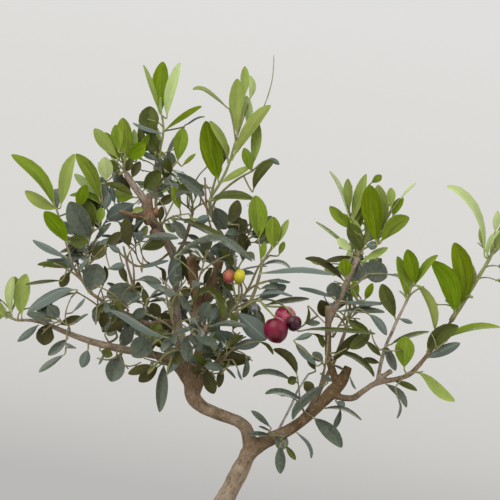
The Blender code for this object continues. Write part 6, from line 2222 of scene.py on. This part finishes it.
    def build_twigs(self) -> None:
        """Join the fine twigs and stalks into one piece."""
        solids, youth = [], []
        twigs = [twig[0] for grown in self.growth.twigs.values() for twig in grown]
        for twig in [*twigs, *self.growth.fine, *self.growth.stalks]:
            path = smooth_path(twig.path, WOOD_STEP)
            shares = shares_along(path)
            ends = shares_along(twig.path)
            radii = [float(np.interp(share, ends, twig.radii)) for share in shares]
            radii = [radius * (1 + self.twig_wobble * noise.noise(point * self.twig_wobble_scale))
                     for point, radius in zip(path, radii)]
            solids.append(tube(path, radii, self.twig_sides))
            for share in shares:
                youth += [twig.youth * (0.35 + 0.65 * share)] * self.twig_sides
        piece = new_object("fine_twigs", joined(solids), [TwigFinish().material()])
        store(piece, "youth", youth)
        piece.data.shade_smooth()
        dress(piece, "bark", *[spray.name for spray in SPRAYS])


@dataclass(frozen=True)
class OliveFinish:
    """An olive's skin: two colours by cloud, darker below, with pale specks and a thin waxy coat."""

    name: str
    skin: tuple
    blush: tuple
    blush_share: float

    def material(self) -> bpy.types.Material:
        """Return the skin.

        Returns:
            The material of the olive.
        """
        graph = Graph(self.name + " olive skin", 0.3, 0.35)
        graph.shader.inputs["Coat Weight"].default_value = 0.08
        cloud = graph.noise(graph.place, 110.0, 3.0)
        base = graph.over(self.skin, self.blush, cloud, 0.62 - self.blush_share,
                          0.78 - self.blush_share, 0.0, 1.0)
        base = graph.speckled(base, scaled(self.blush, 1.9), 900.0, 0.1, 0.22, 0.5)
        fine = graph.noise(graph.place, 700.0, 3.0)
        shade = graph.math("MULTIPLY", graph.band(fine, 0.3, 0.7, 0.9, 1.08),
                           graph.band(graph.attribute("rise"), -0.95, 0.5, 0.55, 1.05))
        base = graph.lit(base, shade)
        return graph.finish(base, fine, 0.0001, 0.3, graph.band(cloud, 0.3, 0.7, 0.24, 0.42))


OLIVE_FINISHES = (
    OliveFinish("withered", linear(140, 78, 62), linear(160, 104, 80), 0.2),
    OliveFinish("crimson", linear(98, 0, 30), linear(122, 10, 46), 0.22),
    OliveFinish("ruddy", linear(144, 28, 62), linear(206, 102, 122), 0.2),
    OliveFinish("purple", linear(62, 16, 30), linear(86, 38, 50), 0.18),
    OliveFinish("coral", linear(188, 80, 82), linear(196, 116, 88), 0.2),
    OliveFinish("lime", linear(172, 170, 6), linear(200, 190, 36), 0.25),
)


@dataclass
class Olives:
    """The five olives and a small withered one, each with a dimple at its stalk and a point below."""

    growth: Growth
    segments: int = 40
    rings: int = 26
    turn: float = 8.0
    shoulder: float = 0.035
    dimple: tuple = (0.93, 1.3)
    point: tuple = (0.97, 0.9)

    def build(self) -> None:
        """Model each olive and dress it."""
        rows = zip(self.growth.fruits, self.growth.bearers, OLIVE_FINISHES)
        for number, (fruit, bearer, finish) in enumerate(rows):
            olive = added(bpy.ops.mesh.primitive_uv_sphere_add, "olive_" + finish.name, radius=0.5 * MM,
                          segments=self.segments, ring_count=self.rings, location=(0, 0, 0))
            bpy.ops.object.mode_set(mode="EDIT")
            bpy.ops.mesh.select_all(action="SELECT")
            bpy.ops.transform.resize(value=(fruit.width, fruit.width, fruit.height))
            bpy.ops.object.mode_set(mode="OBJECT")
            self.shape(olive, fruit)
            turn = Matrix.Rotation(math.radians(self.turn * (number - 3)), 4, "Y")
            olive.data.transform(Matrix.Translation(Vector(fruit.middle) * MM) @ turn)
            olive.data.materials.append(finish.material())
            olive.data.shade_smooth()
            dress(olive, "foliage", bearer)

    def shape(self, olive: bpy.types.Object, fruit: Fruit) -> None:
        """Give an olive its fuller shoulder, its dimple and its point.

        Args:
            olive: the olive's object, still upright.
            fruit: its sizes.
        """
        half = fruit.height / 2 * MM
        from_height, depth = self.dimple
        to_height, length = self.point
        for vertex in olive.data.vertices:
            height = vertex.co.z / half
            flat = 1.0 + self.shoulder * height
            vertex.co.x *= flat
            vertex.co.y *= flat
            if height > from_height:
                vertex.co.z -= half * (height - from_height) * depth
            if height < -to_height:
                vertex.co.z -= half * (-to_height - height) * length
        store(olive, "rise", [vertex.co.z / half for vertex in olive.data.vertices])


@dataclass(frozen=True)
class StonewareFinish:
    """Unglazed brown stoneware: a dry clouded body with pale and dark grit."""

    body: tuple = linear(98, 72, 58)
    dark: tuple = linear(80, 58, 47)
    grit: tuple = linear(150, 122, 100)

    def material(self) -> bpy.types.Material:
        """Return the stoneware.

        Returns:
            The material of the tray.
        """
        graph = Graph("brown stoneware", 0.78, 0.3)
        cloud = graph.noise(graph.place, 28.0, 5.0)
        base = graph.mix(graph.band(cloud, 0.3, 0.7), self.dark, self.body)
        base = graph.speckled(base, self.grit, 520.0, 0.08, 0.2, 0.6)
        base = graph.speckled(base, scaled(self.dark, 0.5), 330.0, 0.08, 0.18, 0.6)
        fine = graph.noise(graph.place, 700.0, 5.0, 0.7)
        return graph.finish(base, fine, 0.0004, 0.6, graph.band(fine, 0.3, 0.7, 0.7, 0.88))


@dataclass
class Pot:
    """The tray: plinth, leaning wall, rounded lip, inner wall, floor and two drain holes."""

    half_length: float = 111.0
    half_width: float = 77.0
    height: float = 58.0
    corner: float = 19.0
    taper: float = 13.0
    wall: float = 6.5
    floor: float = 9.0
    plinth_height: float = 5.0
    plinth_inset: float = 6.0
    plinth_ledge: float = 2.0
    plinth_rise: float = 3.0
    lip_height: float = 8.0
    lip_reach: float = 3.0
    lip_slope: float = 1.5
    lip_round: float = 0.4
    drain_radius: float = 7.0
    drain_spacing: float = 110.0
    corner_trim: float = 8.0
    corner_steps: int = 10
    edge_m: float = 0.0011

    def sizes(self, height: float, inset: float) -> tuple[float, float]:
        """Return the wall's half length and half width at a height, moved in by an inset."""
        taper = self.taper * (1 - height / self.height) + inset
        return self.half_length - taper, self.half_width - taper

    def build(self) -> None:
        """Model the tray and dress it."""
        lip = self.lip_reach
        low, under_lip = self.plinth_height, self.height - self.lip_height
        steps = [(low, lip + self.plinth_inset), (low, lip + self.plinth_ledge),
                 (low + self.plinth_rise, lip), (under_lip - self.lip_slope, lip),
                 (under_lip, self.lip_round), (under_lip + self.lip_slope, 0.0),
                 (self.height, 0.0), (self.height, lip + self.wall), (self.floor, lip + self.wall)]
        pot = added(bpy.ops.mesh.primitive_plane_add, "stoneware_tray", size=2.0, location=(0, 0, 0))
        length, width = self.sizes(0.0, lip + self.plinth_inset)
        bpy.ops.object.mode_set(mode="EDIT")
        bpy.ops.mesh.select_all(action="SELECT")
        bpy.ops.transform.resize(value=(length * MM, width * MM, 1.0))
        bpy.ops.mesh.bevel(offset=(self.corner - self.corner_trim) * MM, segments=self.corner_steps,
                           affect="VERTICES")
        bpy.ops.mesh.select_all(action="SELECT")
        low = 0.0
        for height, inset in steps:
            next_length, next_width = self.sizes(height, inset)
            bpy.ops.mesh.extrude_region_move(TRANSFORM_OT_translate={"value": (0, 0, (height - low) * MM)})
            bpy.ops.transform.resize(value=(next_length / length, next_width / width, 1.0),
                                     center_override=(0, 0, height * MM))
            low, length, width = height, next_length, next_width
        bpy.ops.mesh.select_all(action="SELECT")
        bpy.ops.mesh.normals_make_consistent(inside=False)
        bpy.ops.object.mode_set(mode="OBJECT")
        for side in (-1, 1):
            self.drain(pot, side * self.drain_spacing / 2)
        apply_modifier(pot, "BEVEL", width=self.edge_m, segments=3, limit_method="ANGLE",
                       angle_limit=math.radians(40))
        only(pot)
        bpy.ops.object.shade_smooth_by_angle(angle=math.radians(35))
        pot.data.materials.clear()
        pot.data.materials.append(StonewareFinish().material())
        dress(pot, "stoneware", "pot")

    def drain(self, pot: bpy.types.Object, across: float) -> None:
        """Cut a drain hole through the floor at a place across.

        Args:
            pot: the tray.
            across: how far to the right of the middle.
        """
        cutter = added(bpy.ops.mesh.primitive_cylinder_add, "drain_cutter", vertices=40,
                       radius=self.drain_radius * MM, depth=4 * self.floor * MM,
                       location=(across * MM, 0, 0))
        apply_modifier(pot, "BOOLEAN", operation="DIFFERENCE", object=cutter)
        bpy.data.objects.remove(cutter)


@dataclass(frozen=True)
class SoilFinish:
    """Dark crumbly soil with paler crumbs."""

    dark: tuple = linear(48, 38, 31)
    light: tuple = linear(98, 80, 64)

    def material(self, name: str = "soil crumb", lift: float = 1.0) -> bpy.types.Material:
        """Return the soil, or paler grit where it is lifted.

        Args:
            name: the material's name.
            lift: how much paler it is.

        Returns:
            The material.
        """
        graph = Graph(name, 0.95, 0.15)
        cloud = graph.noise(graph.place, 120.0, 5.0, 0.7)
        fine = graph.noise(graph.place, 900.0, 4.0, 0.7)
        base = graph.mix(graph.band(cloud, 0.3, 0.7), scaled(self.dark, lift), scaled(self.light, lift))
        base = graph.lit(base, graph.band(fine, 0.25, 0.75, 0.6, 1.3))
        return graph.finish(base, fine, 0.0008, 0.8)


@dataclass
class Soil:
    """The soil that fills the tray: an uneven top with grit on it."""

    top: float = 54.0
    inset: float = 9.8
    floor: float = 9.3
    corner: float = 11.0
    voxel: float = 1.6
    trunk_x: float = -25.0
    trunk_room: float = 11.0
    mound: float = 1.3
    mound_spread: float = 900.0
    clods: tuple = (0.9, 0.07)
    crumbs: tuple = (0.55, 0.33)
    grit: int = 1500
    grit_sizes: tuple = (0.5, 1.7)
    grit_margin: float = 3.0
    seed: int = 5

    def build(self, pot: Pot) -> None:
        """Model the soil and its grit, and dress them.

        Args:
            pot: the tray that it fills.
        """
        length, width = pot.sizes(self.top, self.inset)
        soil = added(bpy.ops.mesh.primitive_cube_add, "soil_bed", size=2.0, location=(0, 0, 0))
        low_length, low_width = pot.sizes(self.floor, self.inset)
        bpy.ops.object.mode_set(mode="EDIT")
        bpy.ops.mesh.select_all(action="SELECT")
        bpy.ops.transform.resize(value=(low_length * MM, low_width * MM, (self.top - self.floor) / 2 * MM))
        bpy.ops.transform.translate(value=(0, 0, (self.top + self.floor) / 2 * MM))
        bpy.ops.object.mode_set(mode="OBJECT")
        for vertex in soil.data.vertices:
            if vertex.co.z > self.top / 2 * MM:
                vertex.co.x *= length / low_length
                vertex.co.y *= width / low_width
        apply_modifier(soil, "BEVEL", width=self.corner * MM, segments=6, affect="EDGES",
                       limit_method="ANGLE")
        apply_modifier(soil, "REMESH", mode="VOXEL", voxel_size=self.voxel * MM)
        for vertex in soil.data.vertices:
            if vertex.co.z > (self.top - 1.0) * MM:
                vertex.co.z = self.surface(vertex.co.x / MM, vertex.co.y / MM) * MM
        soil.data.materials.append(SoilFinish().material())
        soil.data.shade_smooth()
        dress(soil, "soil", "soil")
        self.scatter(length, width)

    def surface(self, across: float, back: float) -> float:
        """Return the soil's height at a place, a little higher round the trunk.

        Args:
            across: how far to the right.
            back: how far back.

        Returns:
            The height there.
        """
        spot = Vector((across, back, 0.0))
        rise = self.mound * math.exp(-((across - self.trunk_x) ** 2 + back ** 2) / self.mound_spread)
        for height, scale in (self.clods, self.crumbs):
            rise += height * noise.noise(spot * scale)
        return self.top + rise

    def scatter(self, length: float, width: float) -> None:
        """Scatter grit on the soil as one piece of small copies of a stone.

        Args:
            length: half the soil's length.
            width: half its width.
        """
        rng = Random(self.seed)
        stone = added(bpy.ops.mesh.primitive_ico_sphere_add, "stone", subdivisions=1, radius=1.0,
                      location=(0, 0, 0))
        shape = [vertex.co.copy() for vertex in stone.data.vertices]
        sides = [tuple(face.vertices) for face in stone.data.polygons]
        bpy.data.objects.remove(stone)
        reach, depth = length - self.grit_margin, width - self.grit_margin
        solids = []
        for _ in range(self.grit):
            across = rng.uniform(-reach, reach)
            back = rng.uniform(-depth, depth)
            if math.hypot(across - self.trunk_x, back) < self.trunk_room:
                continue
            size = rng.uniform(*self.grit_sizes)
            turn = Quaternion((rng.random(), rng.random(), rng.random() + 0.01), rng.uniform(0, 6.0))
            turn.normalize()
            middle = Vector((across, back, self.surface(across, back) + size * 0.25))
            points = []
            for point in shape:
                stretched = Vector((point.x * size, point.y * size * 0.8, point.z * size * 0.62))
                points.append(middle + turn @ (stretched * rng.uniform(0.85, 1.15)))
            solids.append((points, sides))
        grit = new_object("soil_grit", joined(solids), [SoilFinish().material("pale grit", 1.9)])
        dress(grit, "soil", "soil")


@dataclass
class Studio:
    """The camera at the photograph's angle, a pale floor, and soft light.

    A light is its name, its place and its width in metres, and its power in watts.
    """

    floor_radius_m: float = 1.2
    floor_sink_m: float = 0.0005
    floor_tone: tuple = linear(206, 205, 202)
    lights: tuple = (
        ("key light", (-0.7, -1.0, 1.7), 1.8, 24.0), ("fill light", (1.4, -1.1, 0.9), 1.4, 6.0),
        ("back light", (0.5, 1.5, 1.4), 1.2, 14.0),
    )
    slant: float = 0.15
    shades: tuple = (linear(186, 185, 183), linear(205, 204, 200), linear(215, 213, 209),
                     linear(218, 217, 213), linear(220, 218, 214), linear(221, 220, 217),
                     linear(224, 223, 221))

    def build_camera(self) -> None:
        """Set up the camera, level and far off, as the photograph was taken."""
        data = bpy.data.cameras.new("camera")
        data.sensor_width = SENSOR_WIDTH
        data.lens = SENSOR_WIDTH * VIEW_DISTANCE / VIEW_WIDTH
        camera = bpy.data.objects.new("camera", data)
        camera.location = (VIEW_X * MM, -VIEW_DISTANCE * MM, VIEW_Z * MM)
        camera.rotation_euler = (math.radians(90), 0, 0)
        bpy.context.scene.collection.objects.link(camera)
        bpy.context.scene.camera = camera

    def build(self) -> None:
        """Set up the floor, the lights and the backdrop's even shade."""
        floor = added(bpy.ops.mesh.primitive_circle_add, "floor", vertices=96, fill_type="NGON",
                      radius=self.floor_radius_m, location=(0, 0, -self.floor_sink_m))
        floor.data.transform(Matrix.Translation(floor.location))
        floor.location = (0, 0, 0)
        graph = Graph("pale floor", 0.8, 0.2)
        cloud = graph.noise(graph.place, 4.0)
        shade = graph.lit(self.floor_tone, graph.band(cloud, 0.3, 0.7, 0.98, 1.02))
        floor.data.materials.append(graph.finish(shade, cloud, 0.0002, 0.1))
        for light in self.lights:
            self.add_light(*light)
        self.build_world()
        bpy.context.scene.view_settings.view_transform = "Standard"

    def add_light(self, name: str, place: tuple, size_m: float, power: float) -> None:
        """Add a soft square light that looks at the crown.

        Args:
            name: its name.
            place: where it stands, in metres.
            size_m: how wide it is.
            power: its power in watts.
        """
        data = bpy.data.lights.new(name, "AREA")
        data.size = size_m
        data.energy = power
        light = bpy.data.objects.new(name, data)
        light.location = place
        aim = Vector((VIEW_X, 0, VIEW_Z)) * MM - Vector(place)
        light.rotation_euler = aim.to_track_quat("-Z", "Y").to_euler()
        bpy.context.scene.collection.objects.link(light)

    def build_world(self) -> None:
        """Shade the surroundings from pale above to a little darker below and to the left."""
        world = bpy.data.worlds.new("surroundings")
        world.use_nodes = True
        bpy.context.scene.world = world
        tree = world.node_tree
        shade = tree.nodes["Background"]
        where = tree.nodes.new("ShaderNodeTexCoord")
        split = tree.nodes.new("ShaderNodeSeparateXYZ")
        ramp = tree.nodes.new("ShaderNodeMapRange")
        shades = tree.nodes.new("ShaderNodeValToRGB")
        tree.links.new(where.outputs["Generated"], split.inputs[0])
        lean = tree.nodes.new("ShaderNodeMath")
        lean.operation = "MULTIPLY_ADD"
        tree.links.new(split.outputs["X"], lean.inputs[0])
        lean.inputs[1].default_value = self.slant
        tree.links.new(split.outputs["Z"], lean.inputs[2])
        tree.links.new(lean.outputs[0], ramp.inputs["Value"])
        ramp.inputs["From Min"].default_value = -VIEW_WIDTH / 2 / VIEW_DISTANCE
        ramp.inputs["From Max"].default_value = VIEW_WIDTH / 2 / VIEW_DISTANCE
        tree.links.new(ramp.outputs["Result"], shades.inputs[0])
        stops = shades.color_ramp.elements
        stops[0].color = self.shades[0]
        stops[1].color = self.shades[-1]
        for number, colour in enumerate(self.shades[1:-1]):
            stops.new((number + 1) / (len(self.shades) - 1)).color = colour
        tree.links.new(shades.outputs[0], shade.inputs["Color"])
        shade.inputs["Strength"].default_value = 1.0


def main() -> None:
    """Build the studio, the plant and the tray."""
    logging.basicConfig(level=logging.INFO, format="%(message)s")
    studio = Studio()
    studio.build_camera()
    growth = Growth()
    Wood(growth).build()
    Foliage(growth).build()
    Olives(growth).build()
    pot = Pot()
    pot.build()
    Soil().build(pot)
    studio.build()
    bpy.ops.object.select_all(action="DESELECT")


if __name__ == "__main__":
    main()
